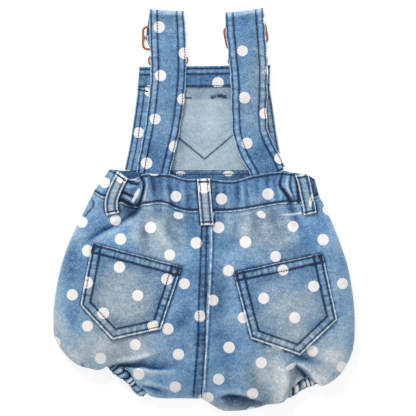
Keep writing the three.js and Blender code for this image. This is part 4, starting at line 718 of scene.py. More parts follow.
@dataclass
class Cloth:
    """One sewn piece's cloth: a grid of its outer face, with what is worn, washed or printed on it and the
    light and shade painted on it.
    """

    name: str
    outer: Array
    thick: float = 1.0
    weave: Weave = Weave.ONE_FACE
    light: Array | None = None
    tone: Array | None = None
    dots: Array | None = None
    ring: bool = False
    up: float = 1.0
    flat: Pair = (0.1, 0.1)
    area: float | None = None
    held: str = "laid"

    def relief(self, near: float, wide: float, strength: float) -> Array:
        """Ridges made paler and hollows darker, from the cloth's own form: partly rubbed wear, partly a
        painted highlight on the ridges and painted shade in the hollows.

        Args:
            near: cells over which the ridges are read.
            wide: cells of the form that they stand out of.
            strength: paleness for each millimetre.

        Returns:
            How much paler each place is.
        """
        normals = normals_of(self.outer)
        fine, coarse = soften(self.outer, near), soften(self.outer, wide)
        height = ((fine - coarse) * normals).sum(axis=2) * (-1 if self._faces_in() else 1)
        return np.clip(height * strength, -1, 1)

    def _faces_in(self) -> bool:
        """Whether the grid's faces point to the cloth's inner side."""
        normals = normals_of(self.outer)
        if self.ring:
            return bool(((self.outer - self.outer.mean(axis=(0, 1))) * normals).sum(axis=2).mean() < 0)
        return bool(normals[..., 2].mean() * self.up < 0)

    def build(self, slot: str = "denim") -> bpy.types.Object:
        """Args:
            slot: not used.

        Returns:
            The finished piece.
        """
        outer = self.outer
        tone = np.zeros(outer.shape[:2]) if self.tone is None else self.tone
        fields = {"light": self.light, "tone": tone + GENERAL_TONE, "dot": self.dots}
        if self._faces_in():
            outer = outer[:, ::-1]
            fields = {key: None if grid is None else grid[:, ::-1] for key, grid in fields.items()}
        rows, columns = outer.shape[:2]
        clear_choice()
        bpy.ops.mesh.primitive_grid_add(x_subdivisions=columns - 1, y_subdivisions=rows - 1, size=1)
        piece = bpy.context.object
        piece.name = self.name
        piece.data.name = self.name
        mesh = piece.data
        mesh.vertices.foreach_set("co", (outer * MM).astype(np.float32).ravel())
        self._lay_out(mesh, outer)
        for key, grid in fields.items():
            values = np.zeros(rows * columns) if grid is None else grid
            if grid is None and key == "dot":
                values = values + NO_DOT
            layer = mesh.attributes.new(key, "FLOAT", "POINT")
            layer.data.foreach_set("value", values.astype(np.float32).ravel())
        if self.ring:
            bpy.ops.object.mode_set(mode="EDIT")
            bpy.ops.mesh.select_all(action="SELECT")
            bpy.ops.mesh.remove_doubles(threshold=2e-5)
            bpy.ops.object.mode_set(mode="OBJECT")
        self._give_wall(piece)
        return self._declare(piece)

    @staticmethod
    def _lay_out(mesh: bpy.types.Mesh, outer: Array) -> None:
        """Gives the mesh the cloth's own measure as its map, in metres along the weft and the warp."""
        weft, warp = across_grid(outer, True), across_grid(outer, False)
        flat = np.stack([weft, warp], axis=-1).reshape(-1, 2) * MM
        corners = np.empty(len(mesh.loops), dtype=np.int32)
        mesh.loops.foreach_get("vertex_index", corners)
        layer = mesh.uv_layers[0] if mesh.uv_layers else mesh.uv_layers.new(name="UVMap")
        layer.data.foreach_set("uv", flat[corners].astype(np.float32).ravel())

    def _give_wall(self, piece: bpy.types.Object) -> None:
        """Gives the cloth its thickness, inwards, and smooths its faces."""
        wrong_side = self.weave is Weave.ONE_FACE
        piece.data.materials.append(Finishes.denim)
        piece.data.materials.append(Finishes.wrong_side if wrong_side else Finishes.denim)
        bpy.ops.object.modifier_add(type="SOLIDIFY")
        wall = piece.modifiers[-1]
        wall.thickness = self.thick * MM
        wall.offset = -1
        wall.use_rim = True
        wall.material_offset = 1
        bpy.ops.object.modifier_apply(modifier=wall.name)
        bpy.ops.object.shade_smooth_by_angle(angle=math.radians(60))

    def _declare(self, piece: bpy.types.Object) -> bpy.types.Object:
        """Hangs the piece on the root, hides the solid that it stands for, names it and logs its faces and
        area.
        """
        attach(piece, "root")
        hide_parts(self.name)
        piece.name = self.name + "_cloth"
        surface = sum(face.area for face in piece.data.polygons) / 2
        LOG.info("%s: %d faces, %.4f square metres", piece.name, len(piece.data.polygons), surface)
        return piece


def clear_choice() -> None:
    """Leaves nothing selected, so that the next operator acts on its own piece alone."""
    if bpy.context.object and bpy.context.object.mode != "OBJECT":
        bpy.ops.object.mode_set(mode="OBJECT")
    bpy.ops.object.select_all(action="DESELECT")


def edge_wear(gap: Array, along: Array, pale: float, wide: float | Array = 1.0) -> Array:
    """A turned edge's worn, pale line, uneven along its length.

    Args:
        gap: how far each place is from the edge.
        along: how far along the edge it is.
        pale: how pale the edge is.
        wide: how wide the worn line is.

    Returns:
        How much paler each place is.
    """
    uneven = 0.8 + 0.3 * wander(along, 9, 2.2) + 0.25 * wander(along, 3.1, 4.7)
    return pale * uneven * bell(gap, wide, 4)


def row_shade(gap: Array, places: Sequence[float | Array], dark: float = 2.2, wide: float = 0.75) -> Array:
    """The dark grooves that rows of stitches press into the cloth, at gaps from its edge."""
    return -dark * sum(bell(gap - place, wide) for place in places)


def washed_and_shaded(x: Array, y: Array, name: str = "light") -> Array:
    """The soft washed patches and painted shade at each place: their light, or their tone."""
    total = np.zeros_like(x)
    values = [WASHES_AND_SHADE[key] for key in ("x", "y", "wide", "high", "turn", name)]
    for px, py, wide, high, turn, amount in zip(*values):
        u, v = turned(x - px, y - py, turn)
        total += amount * np.exp(-((u / wide) ** 2) - (v / high) ** 2)
    return total


class Value:
    """A number socket of a material, so that shader maths reads as an expression."""

    def __init__(self, shader: Shader, socket: Socket | float) -> None:
        """Wraps a socket, or a plain number."""
        self.shader, self.socket = shader, socket

    def _math(self, operation: str, other: Value | float, swap: bool = False) -> Value:
        """Adds the node of one operation."""
        first, second = (other, self) if swap else (self, other)
        return self.shader.value("ShaderNodeMath", {"operation": operation}, {0: first, 1: second})

    def __add__(self, other: Value | float) -> Value:
        """The sum."""
        return self._math("ADD", other)

    __radd__ = __add__

    def __sub__(self, other: Value | float) -> Value:
        """The difference."""
        return self._math("SUBTRACT", other)

    def __rsub__(self, other: Value | float) -> Value:
        """The difference, the other way round."""
        return self._math("SUBTRACT", other, swap=True)

    def __mul__(self, other: Value | float) -> Value:
        """The product."""
        return self._math("MULTIPLY", other)

    __rmul__ = __mul__

    def __truediv__(self, other: Value | float) -> Value:
        """The quotient."""
        return self._math("DIVIDE", other)

    def __rtruediv__(self, other: Value | float) -> Value:
        """The quotient, the other way round."""
        return self._math("DIVIDE", other, swap=True)


def linear(red: int, green: int, blue: int) -> tuple[float, float, float, float]:
    """A screen colour of 0 to 255 as the linear colour that a shader takes."""
    parts = [value / 255 for value in (red, green, blue)]
    return (*(c / 12.92 if c <= 0.04045 else ((c + 0.055) / 1.055) ** 2.4 for c in parts), 1.0)


class Shader:
    """One material's node tree, and the few ways in which its nodes are made."""

    def __init__(self, name: str) -> None:
        """Starts a material with its principled shader."""
        self.material = bpy.data.materials.new(name)
        self.material.use_nodes = True
        self.tree = self.material.node_tree
        self.surface = self.tree.nodes["Principled BSDF"]

    def node(self, kind: str, settings: dict, inputs: dict, output: int | str = 0) -> Socket:
        """Adds a node.

        Args:
            kind: the node's type.
            settings: what is set on the node first, with a ramp's stops as place and colour.
            inputs: values, sockets or expressions by the input's name or place.
            output: the output that is handed back.

        Returns:
            The output socket.
        """
        made = self.tree.nodes.new(kind)
        for key, value in settings.items():
            if key == "stops":
                self._stops(made.color_ramp, value)
            else:
                setattr(made, key, value)
        for key, value in inputs.items():
            self.feed(made.inputs[key], value)
        return made.outputs[output]

    def feed(self, socket: Socket, value: object) -> None:
        """Links or sets one input."""
        if isinstance(value, Value):
            value = value.socket
        if isinstance(value, Socket):
            self.tree.links.new(value, socket)
        else:
            socket.default_value = value

    @staticmethod
    def _stops(ramp: bpy.types.ColorRamp, stops: Sequence[tuple]) -> None:
        """Gives a ramp its stops."""
        while len(ramp.elements) < len(stops):
            ramp.elements.new(1)
        for element, (place, colour) in zip(ramp.elements, stops):
            element.position, element.color = place, colour

    def value(self, kind: str, settings: dict, inputs: dict, output: int | str = 0) -> Value:
        """Adds a node whose output is used as a number."""
        return Value(self, self.node(kind, settings, inputs, output))

    def attribute(self, name: str) -> Value:
        """A number that the cloth carries at each of its points."""
        return self.value("ShaderNodeAttribute", {"attribute_name": name}, {}, "Fac")

    def noise(self, place: Socket, scale: float, detail: float = 2, rough: float = 0.5) -> Value:
        """Soft noise, centred on nought, from about -0.5 to 0.5."""
        inputs = {"Vector": place, "Scale": scale, "Detail": detail, "Roughness": rough}
        return self.value("ShaderNodeTexNoise", {}, inputs) - 0.5

    def stretch(self, place: Socket, turn: float, scale: tuple[float, float, float]) -> Socket:
        """Turns and stretches the places that a pattern is read at."""
        inputs = {"Vector": place, "Rotation": (0, 0, turn), "Scale": scale}
        return self.node("ShaderNodeMapping", {}, inputs)

    def blend(self, share: Value | float, first: object, second: object, kind: str = "MIX") -> Socket:
        """Blends two colours."""
        settings = {"data_type": "RGBA", "blend_type": kind}
        return self.node("ShaderNodeMix", settings, {0: share, 6: first, 7: second}, 2)

    def objects(self) -> Socket:
        """The places of a piece, in metres, as patterns read them."""
        return self.node("ShaderNodeTexCoord", {}, {}, "Object")

    def dress(self, inputs: dict) -> None:
        """Feeds inputs of the principled shader."""
        for key, value in inputs.items():
            self.feed(self.surface.inputs[key], value)

    def step(self, value: Value, low: float, high: float) -> Value:
        """Eases a number from 0 at its low end to 1 at its high one."""
        inputs = {"Value": value, "From Min": low, "From Max": high}
        return self.value("ShaderNodeMapRange", {"interpolation_type": "SMOOTHSTEP"}, inputs)

    def bump(self, height: Value, distance: float, strength: float) -> None:
        """Raises the surface by a height, in metres at a height of one."""
        inputs = {"Height": height, "Distance": distance, "Strength": strength}
        self.dress({"Normal": self.node("ShaderNodeBump", {}, inputs)})


@dataclass(frozen=True)
class DenimFinish:
    """Washed stretch denim: its colours from the darkest hollow to the palest ridge, and its grain."""

    name: str
    stops: tuple[tuple[float, Colour], ...]
    greys: tuple[tuple[float, Colour], ...]
    dot: Colour = (247, 243, 240)
    printed: bool = True
    contrast: float = 0.2
    middle: float = 0.47
    slub: float = 0.16
    bleed: float = 0.4
    roughness: float = 0.88

    def make(self) -> bpy.types.Material:
        """Builds the material."""
        shader = Shader(self.name)
        cloth = shader.node("ShaderNodeUVMap", {}, {})
        place = shader.objects()
        warp = shader.noise(shader.stretch(cloth, 0, (900, 260, 1)), 1, 2, 0.6)
        weft = shader.noise(shader.stretch(cloth, 0, (240, 1000, 1)), 1, 2, 0.6)
        twill = shader.value(
            "ShaderNodeTexWave",
            {"bands_direction": "DIAGONAL"},
            {"Vector": cloth, "Scale": 210, "Distortion": 2.5, "Detail": 1, "Detail Scale": 3},
        )
        patches = shader.noise(place, 34, 3, 0.6)
        mottle = shader.noise(place, 210, 3, 0.7)
        fleck = shader.noise(place, 620, 2, 0.6)
        grain = (warp + weft * 0.7) * self.slub * 2.2 + (twill - 0.5) * 0.05 + fleck * 0.42
        light = shader.attribute("light") * self.contrast
        shade = light + grain + patches * 0.34 + mottle * 0.34 + self.middle
        colour = self._ramp(shader, self.stops, shade)
        tone = shader.step(shader.attribute("tone") + patches * 0.9 + mottle * 0.5, 0.0, 1.1)
        colour = shader.blend(tone, colour, self._ramp(shader, self.greys, shade))
        if self.printed:
            gap = shader.attribute("dot") + (mottle * 1.2 + fleck) * self.bleed
            inside = 1 - shader.step(gap, -0.35, 0.35)
            # the dots take the cloth's wear and its painted shade and highlights from the light attribute
            dot_wear_and_shade = light * 0.5 + grain * 0.25 + 0.94
            dot_wear_and_shade = shader.value("ShaderNodeMath", {"operation": "MINIMUM"}, {0: dot_wear_and_shade, 1: 1.0})
            shadow = shader.node("ShaderNodeCombineColor", {}, {0: dot_wear_and_shade, 1: dot_wear_and_shade, 2: dot_wear_and_shade})
            white = shader.blend(1.0, linear(*self.dot), shadow, "MULTIPLY")
            colour = shader.blend(inside * 0.96, colour, white)
        shader.dress({"Base Color": colour, "Roughness": self.roughness, "Specular IOR Level": 0.2})
        shader.dress({"Sheen Weight": 0.15, "Sheen Roughness": 0.6})
        shader.bump(warp + weft + twill * 0.7 + fleck, 0.0004, 0.5)
        return shader.material

    @staticmethod
    def _ramp(shader: Shader, stops: tuple[tuple[float, Colour], ...], shade: Value) -> Socket:
        """The colours of a ramp, read at a shade."""
        ramp = [(stop, linear(*colour)) for stop, colour in stops]
        return shader.node("ShaderNodeValToRGB", {"stops": ramp}, {0: shade})


@dataclass(frozen=True)
class ThreadFinish:
    """Sewing thread: a twisted sheen on one dark or pale colour."""

    name: str
    colour: Colour

    def make(self) -> bpy.types.Material:
        """Builds the material."""
        shader = Shader(self.name)
        place = shader.objects()
        fleck = shader.noise(place, 900, 2, 0.6)
        pale = tuple(min(255, value + 34) for value in self.colour)
        colour = shader.blend(shader.step(fleck, -0.2, 0.4), linear(*self.colour), linear(*pale))
        shader.dress({"Base Color": colour, "Roughness": 0.7})
        shader.bump(fleck, 0.0002, 0.4)
        return shader.material


@dataclass(frozen=True)
class CopperFinish:
    """Copper plating on the metal trims, rubbed and a little tarnished."""

    name: str = "copper_plating"
    bright: Colour = (226, 158, 128)
    tarnish: Colour = (158, 92, 68)

    def make(self) -> bpy.types.Material:
        """Builds the material."""
        shader = Shader(self.name)
        place = shader.objects()
        cloud = shader.noise(place, 160, 3, 0.6)
        scratch = shader.noise(shader.stretch(place, 0.4, (300, 1500, 300)), 1, 2, 0.6)
        colour = shader.blend(shader.step(cloud, -0.15, 0.25), linear(*self.bright), linear(*self.tarnish))
        shader.dress({"Base Color": colour, "Metallic": 1.0})
        shader.dress({"Roughness": cloud * 0.3 + scratch * 0.2 + 0.3})
        shader.bump(scratch, 0.0001, 0.3)
        return shader.material


class Finishes:
    """The finishes, made once when the scene starts."""

    denim: bpy.types.Material
    wrong_side: bpy.types.Material
    thread: bpy.types.Material
    fray: bpy.types.Material
    copper: bpy.types.Material

    @classmethod
    def make(cls) -> None:
        """Builds every material."""
        blue = (
            (0.0, (15, 38, 74)),
            (0.2, (48, 85, 130)),
            (0.42, (92, 137, 180)),
            (0.6, (132, 171, 204)),
            (0.8, (182, 204, 219)),
            (1.0, (234, 239, 242)),
        )
        grey = (
            (0.0, (19, 40, 68)),
            (0.2, (64, 88, 112)),
            (0.42, (110, 133, 153)),
            (0.6, (150, 168, 182)),
            (0.8, (190, 202, 211)),
            (1.0, (238, 240, 241)),
        )
        pale = (
            (0.0, (70, 92, 116)),
            (0.25, (124, 148, 168)),
            (0.5, (160, 180, 194)),
            (0.75, (186, 202, 212)),
            (1.0, (222, 230, 234)),
        )
        cls.denim = DenimFinish("washed_denim", blue, grey).make()
        cls.wrong_side = DenimFinish(
            "denim_wrong_side", pale, grey, printed=False, contrast=0.16, middle=0.52, slub=0.2
        ).make()
        cls.thread = ThreadFinish("navy_thread", (20, 36, 68)).make()
        cls.fray = ThreadFinish("frayed_white_thread", (214, 216, 218)).make()
        cls.copper = CopperFinish().make()


def rumple(x: Array, y: Array, seed: float) -> Array:
    """The soft unevenness of cloth that was washed and laid down, from -1 to 1."""
    total = np.zeros_like(x)
    for place in range(7):
        angle = 2.4 * place + seed
        pitch = 17 + 5.3 * place
        bend = np.sin((x * math.sin(angle) - y * math.cos(angle)) / 23 + seed * place)
        along = x * math.cos(angle) + y * math.sin(angle)
        total += np.sin(along * 2 * math.pi / pitch + 1.4 * bend + 7 * angle)
    return total / 4.5


def edge_gap(plan: Array, corners: Array, closed: bool = True) -> tuple[Array, Array]:
    """How far each place is from a line of corners, and how far along that line.

    Args:
        plan: the places, their last axis x and y.
        corners: the line's corners.
        closed: whether the last corner joins the first.

    Returns:
        The distances, and the lengths along the line.
    """
    ends = np.vstack([corners, corners[:1]]) if closed else corners
    best = np.full(plan.shape[:-1], 1e9)
    place = np.zeros_like(best)
    start = 0.0
    for first, second in zip(ends[:-1], ends[1:]):
        step = second - first
        length = float(np.hypot(*step))
        share = np.clip(((plan - first) @ step) / length**2, 0, 1)
        gap = np.hypot(*np.moveaxis(plan - first - share[..., None] * step, -1, 0))
        place = np.where(gap < best, start + share * length, place)
        best = np.minimum(gap, best)
        start += length
    return best, place


def cross_lines(stations: Array, shares: Array) -> Array:
    """A strip's grid, from stations of x, y, z, lean and width and from shares across, -0.5 to 0.5."""
    x, y, z, lean, width = stations.T[:, :, None]
    turn = np.radians(lean)
    aside = shares[None, :] * width
    return np.stack([x + aside * np.cos(turn), y + aside * np.sin(turn), z + 0 * aside], axis=-1)


def resampled(rows: Table, steps: int, height: str | None = None) -> Array:
    """A strip's table resampled smoothly, to stations of x, y, z, lean and width."""
    heights = rows[height] if height else np.zeros_like(rows["x"])
    line = SeamLine(np.stack([rows["x"], rows["y"], heights], axis=1))
    share = np.linspace(0, 1, steps + 1)
    sides = [line.column(rows[key], share) for key in ("lean", "width")]
    return np.column_stack([line.at(share), *sides])


def turn_round(station: Array, y: float, z: float, radius: float, angles: Pair, steps: int) -> Array:
    """Stations of a strip that goes round a bar.

    Args:
        station: the station that is turned.
        y: the bar's middle, along the strip.
        z: the bar's middle height.
        radius: from the bar's middle to the strip's outer face.
        angles: the first and the last angle, in degrees from the strip's direction.
        steps: how many steps the turn takes.

    Returns:
        The stations of the turn.
    """
    turn = np.radians(np.linspace(*angles, steps + 1))
    made = np.repeat(station[None], steps + 1, axis=0)
    made[:, 1] = y + radius * np.cos(turn)
    made[:, 2] = z + radius * np.sin(turn)
    return made


def bib_rest(x: Array, y: Array) -> Array:
    """How high the bib's lower face lies: on its pocket, and lifted over the two buttons near its top."""
    lift = np.zeros_like(x)
    for button_x, _ in BUTTONS.values():
        beside = smooth((np.abs(x - button_x) - 22) / 14)
        lift = np.maximum(lift, (1 - beside) * smooth((y - 95) / 25))
    return mix(BIB_REST, BIB_OVER_BUTTON, lift)


def patch_plan(corners: Table, across: Array, down: Array) -> Array:
    """A patch pocket's plan, with its lower side bent at the point."""
    top_left, top_right, low_right, point, low_left = points_of(corners)
    first, second = np.hypot(*(point - low_left)), np.hypot(*(low_right - point))
    bend = first / (first + second)
    places = np.array([0, bend, 1])
    low = read_off(np.stack([low_left, point, low_right]), places, across)
    top = mix(top_left, top_right, across[:, None])
    left, right = mix(top_left, low_left, down[:, None]), mix(top_right, low_right, down[:, None])
    return patch(top, low, left, right, across, down)


class Ground:
    """The surface that lies under new work, found by looking straight down or straight up."""

    def __init__(self, grids: Sequence[Array]) -> None:
        """Gathers the grids' faces."""
        points, faces, start = [], [], 0
        for grid in grids:
            rows, columns = grid.shape[:2]
            index = np.arange(rows * columns).reshape(rows, columns) + start
            quads = np.stack([index[:-1, :-1], index[:-1, 1:], index[1:, 1:], index[1:, :-1]], axis=-1)
            points.append(grid.reshape(-1, 3))
            faces.append(quads.reshape(-1, 4))
            start += rows * columns
        self.tree = BVHTree.FromPolygons(np.vstack(points).tolist(), np.vstack(faces).tolist())

    def drop(self, plan: Array, above: bool = True) -> tuple[Array, Array]:
        """Finds the surface at each place.

        Args:
            plan: the places, their last axis x and y.
            above: whether it is seen from above, or else from below.

        Returns:
            The points and the unit normals there, which face the side that it is seen from.
        """
        places = plan.reshape(-1, 2)
        start, way = (90.0, Vector((0, 0, -1))) if above else (-30.0, Vector((0, 0, 1)))
        points = np.empty((len(places), 3))
        normals = np.empty((len(places), 3))
        for index, (x, y) in enumerate(places):
            hit, normal, _, _ = self.tree.ray_cast(Vector((x, y, start)), way)
            if hit is None:
                hit, normal, _, _ = self.tree.find_nearest(Vector((x, y, 10.0)))
            if normal.dot(way) > 0:
                normal = -normal
            points[index], normals[index] = hit, normal
        shape = (*plan.shape[:-1], 3)
        return points.reshape(shape), normals.reshape(shape)


def inset(corners: Array, gaps: Sequence[float]) -> Array:
    """Moves each side of a patch inwards by its own gap.

    Args:
        corners: the patch's corners, in order.
        gaps: for each side, from its corner to the next one, how far it moves.

    Returns:
        The corners of the smaller patch.
    """
    following = np.roll(corners, -1, axis=0)
    steps = following - corners
    steps /= np.linalg.norm(steps, axis=1, keepdims=True)
    turn = np.sum(corners[:, 0] * following[:, 1] - following[:, 0] * corners[:, 1])
    inwards = np.stack([-steps[:, 1], steps[:, 0]], axis=1) * (1 if turn > 0 else -1)
    starts = corners + inwards * np.asarray(gaps)[:, None]
    made = []
    for place in range(len(corners)):
        (ax, ay), (dx, dy) = starts[place - 1], steps[place - 1]
        (bx, by), (ex, ey) = starts[place], steps[place]
        share = ((bx - ax) * ey - (by - ay) * ex) / (dx * ey - dy * ex)
        made.append((ax + dx * share, ay + dy * share))
    return np.array(made)


@dataclass
class Stitcher:
    """Lockstitch rows: short raised threads laid end to end on the cloth."""

    name: str
    pitch: float = 2.6
    length: float = 2.3
    width: float = 1.05
    high: float = 0.4
    frames: list[Array] = field(default_factory=list)
    rows: int = 0

    def lay(self, points: Array, normals: Array) -> None:
        """Lays stitches along a line of points, raised along the cloth's normals."""
        run = run_of(points)
        count = max(1, round(run[-1] / self.pitch))
        self.rows += 1
        middle = (np.arange(count) + 0.5) * run[-1] / count
        middle = middle + 0.16 * np.sin(middle * 2.3 + self.rows)
        half = min(self.length, run[-1] / count * 0.84) / 2
        first, second = (read_off(points, run, middle + side) for side in (-half, half))
        up = read_off(normals, run, middle)
        up /= np.linalg.norm(up, axis=1, keepdims=True)
        aside = np.cross(up, second - first)
        aside /= np.linalg.norm(aside, axis=1, keepdims=True)
        jitter = (0.13 * np.sin(middle * 1.9 + 2 * self.rows))[:, None]
        skew = 0.06 * aside * self.length
        first, second = first + aside * jitter - skew, second + aside * jitter + skew
        place = (first + second) / 2 + up * self.high * 0.2
        frame = [(second - first) * 0.5, aside * self.width / 2, up * self.high / 2, place]
        self.frames.append(np.stack(frame, axis=-1))

    def follow(self, ground: Ground, plan: Array, above: bool = True) -> None:
        """Lays stitches along a line of plan points, on the surface that is seen there.

        Args:
            ground: the cloth under the row.
            plan: the line's corners.
            above: whether the row is seen from above, or else from below.
        """
        _, fine = self._spread(plan, 0.7, 4)
        self.lay(*ground.drop(fine, above))

    @staticmethod
    def _spread(plan: Array, step: float, fewest: int) -> tuple[Array, Array]:
        """Even places along a line of plan corners, about a step apart, and the points there."""
        plan = np.asarray(plan, dtype=float)
        run = run_of(plan)
        places = np.linspace(0, run[-1], max(fewest, int(run[-1] / step)))
        return places, read_off(plan, run, places)

    def along(
        self, grid: Array, row: float | None = None, column: float | None = None, part: Pair = (0, 1)
    ) -> None:
        """Lays stitches along one row or one column of a cloth's grid.

        Args:
            grid: the cloth's outer face.
            row: the share of the grid's rows at which the stitches run along it.
            column: the share of its columns, where they run down it.
            part: the shares of the line between which there are stitches. It starts on an upper side.
        """
        normals = normals_of(grid)
        if column is not None:
            grid, normals, row = grid.transpose(1, 0, 2), normals.transpose(1, 0, 2), column
        place = row * (len(grid) - 1)
        low = min(int(place), len(grid) - 2)
        first, last = (round(share * (grid.shape[1] - 1)) for share in part)
        pick = slice(first, last + 1)
        line = mix(grid[low, pick], grid[low + 1, pick], place - low)
        up = mix(normals[low, pick], normals[low + 1, pick], place - low)
        self.lay(line, up if up[: max(2, len(up) // 4), 2].mean() > 0 else -up)

    def fringe(self, ground: Ground, plan: Array, reach: float = 1.8, step: float = 0.8) -> None:
        """Lays short loose fibres across a line of plan points, each at its own angle.

        Args:
            ground: the cloth under them.
            plan: the line's corners.
            reach: the usual length of a fibre.
            step: the usual gap between two.
        """
        places, points = self._spread(plan, step, 3)
        steps = np.gradient(points, axis=0)
        turns = np.arctan2(steps[:, 1], steps[:, 0]) + math.pi / 2 + 0.9 * np.sin(places * 5.3 + places[-1])
        sizes = reach * (0.7 + 0.4 * np.sin(places * 3.7 + 1))
        for (x, y), turn, size in zip(points, turns, sizes):
            aside = np.array([math.cos(turn), math.sin(turn)]) * size / 2
            ends, normals = ground.drop(np.array([(x, y) - aside, (x, y) + aside]))
            self.frames.append(self._one(*(ends + normals[:1] * 0.2), normals[0]))

    def tack(self, ground: Ground, start: Pair, end: Pair, width: float) -> None:
        """Lays a bartack: close stitches side by side along a short line.

        Args:
            ground: the cloth under it.
            start: one end of its middle line.
            end: the other end.
            width: how wide it is across that line.
        """
        step = np.subtract(end, start)
        size = float(np.hypot(*step))
        aside = np.array([-step[1], step[0]]) / size * width / 2
        for share in np.linspace(0, 1, max(3, round(size / 0.7))):
            middle = np.asarray(start) + step * share
            plan = np.linspace(middle - aside, middle + aside, 4)
            points, normals = ground.drop(plan)
            self.frames.append(self._one(points[0], points[-1], normals[1]))

    def _one(self, first: Array, second: Array, up: Array) -> Array:
        """One stitch between two points."""
        aside = np.cross(up, second - first)
        aside /= np.linalg.norm(aside)
        place = (first + second) / 2 + up * 0.1
        frame = [(second - first) / 2, aside * self.width / 2, up * self.high / 2, place]
        return np.stack(frame, axis=-1)[None]

    def build(self, finish: bpy.types.Material) -> bpy.types.Object:
        """Models one stitch, copies it for every place and puts the copies there."""
        clear_choice()
        bpy.ops.mesh.primitive_uv_sphere_add(segments=6, ring_count=4, radius=1)
        piece = bpy.context.object
        piece.name = self.name
        piece.data.name = self.name
        bpy.ops.transform.rotate(value=math.pi / 2, orient_axis="Y", center_override=(0, 0, 0))
        bpy.ops.object.transform_apply(location=True, rotation=True, scale=True)
        one = np.empty(len(piece.data.vertices) * 3)
        piece.data.vertices.foreach_get("co", one)
        frames = np.concatenate(self.frames)
        bpy.ops.object.modifier_add(type="ARRAY")
        piece.modifiers[-1].count = len(frames)
        bpy.ops.object.modifier_apply(modifier=piece.modifiers[-1].name)
        placed = np.einsum("nij,vj->nvi", frames[:, :, :3], one.reshape(-1, 3)) + frames[:, None, :, 3]
        piece.data.vertices.foreach_set("co", (placed * MM).astype(np.float32).ravel())
        piece.data.materials.append(finish)
        bpy.ops.object.shade_smooth()
        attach(piece, "root")
        LOG.info("%s: %d stitches, %d faces", self.name, len(frames), len(piece.data.polygons))
        return piece


def loop_shade(x: Array, y: Array) -> Array:
    """The shadow painted on the cloth beside the belt loops' edges."""
    plan = np.stack([x, y], axis=-1)
    shade = np.zeros(x.shape)
    for rows in BELT_LOOPS.values():
        gap, _ = edge_gap(plan, points_of(rows), closed=False)
        shade += 1.6 * bell(gap - 7.2, 1.3) * smooth((y - rows["y"][-1] + 1) / 2)
    return shade


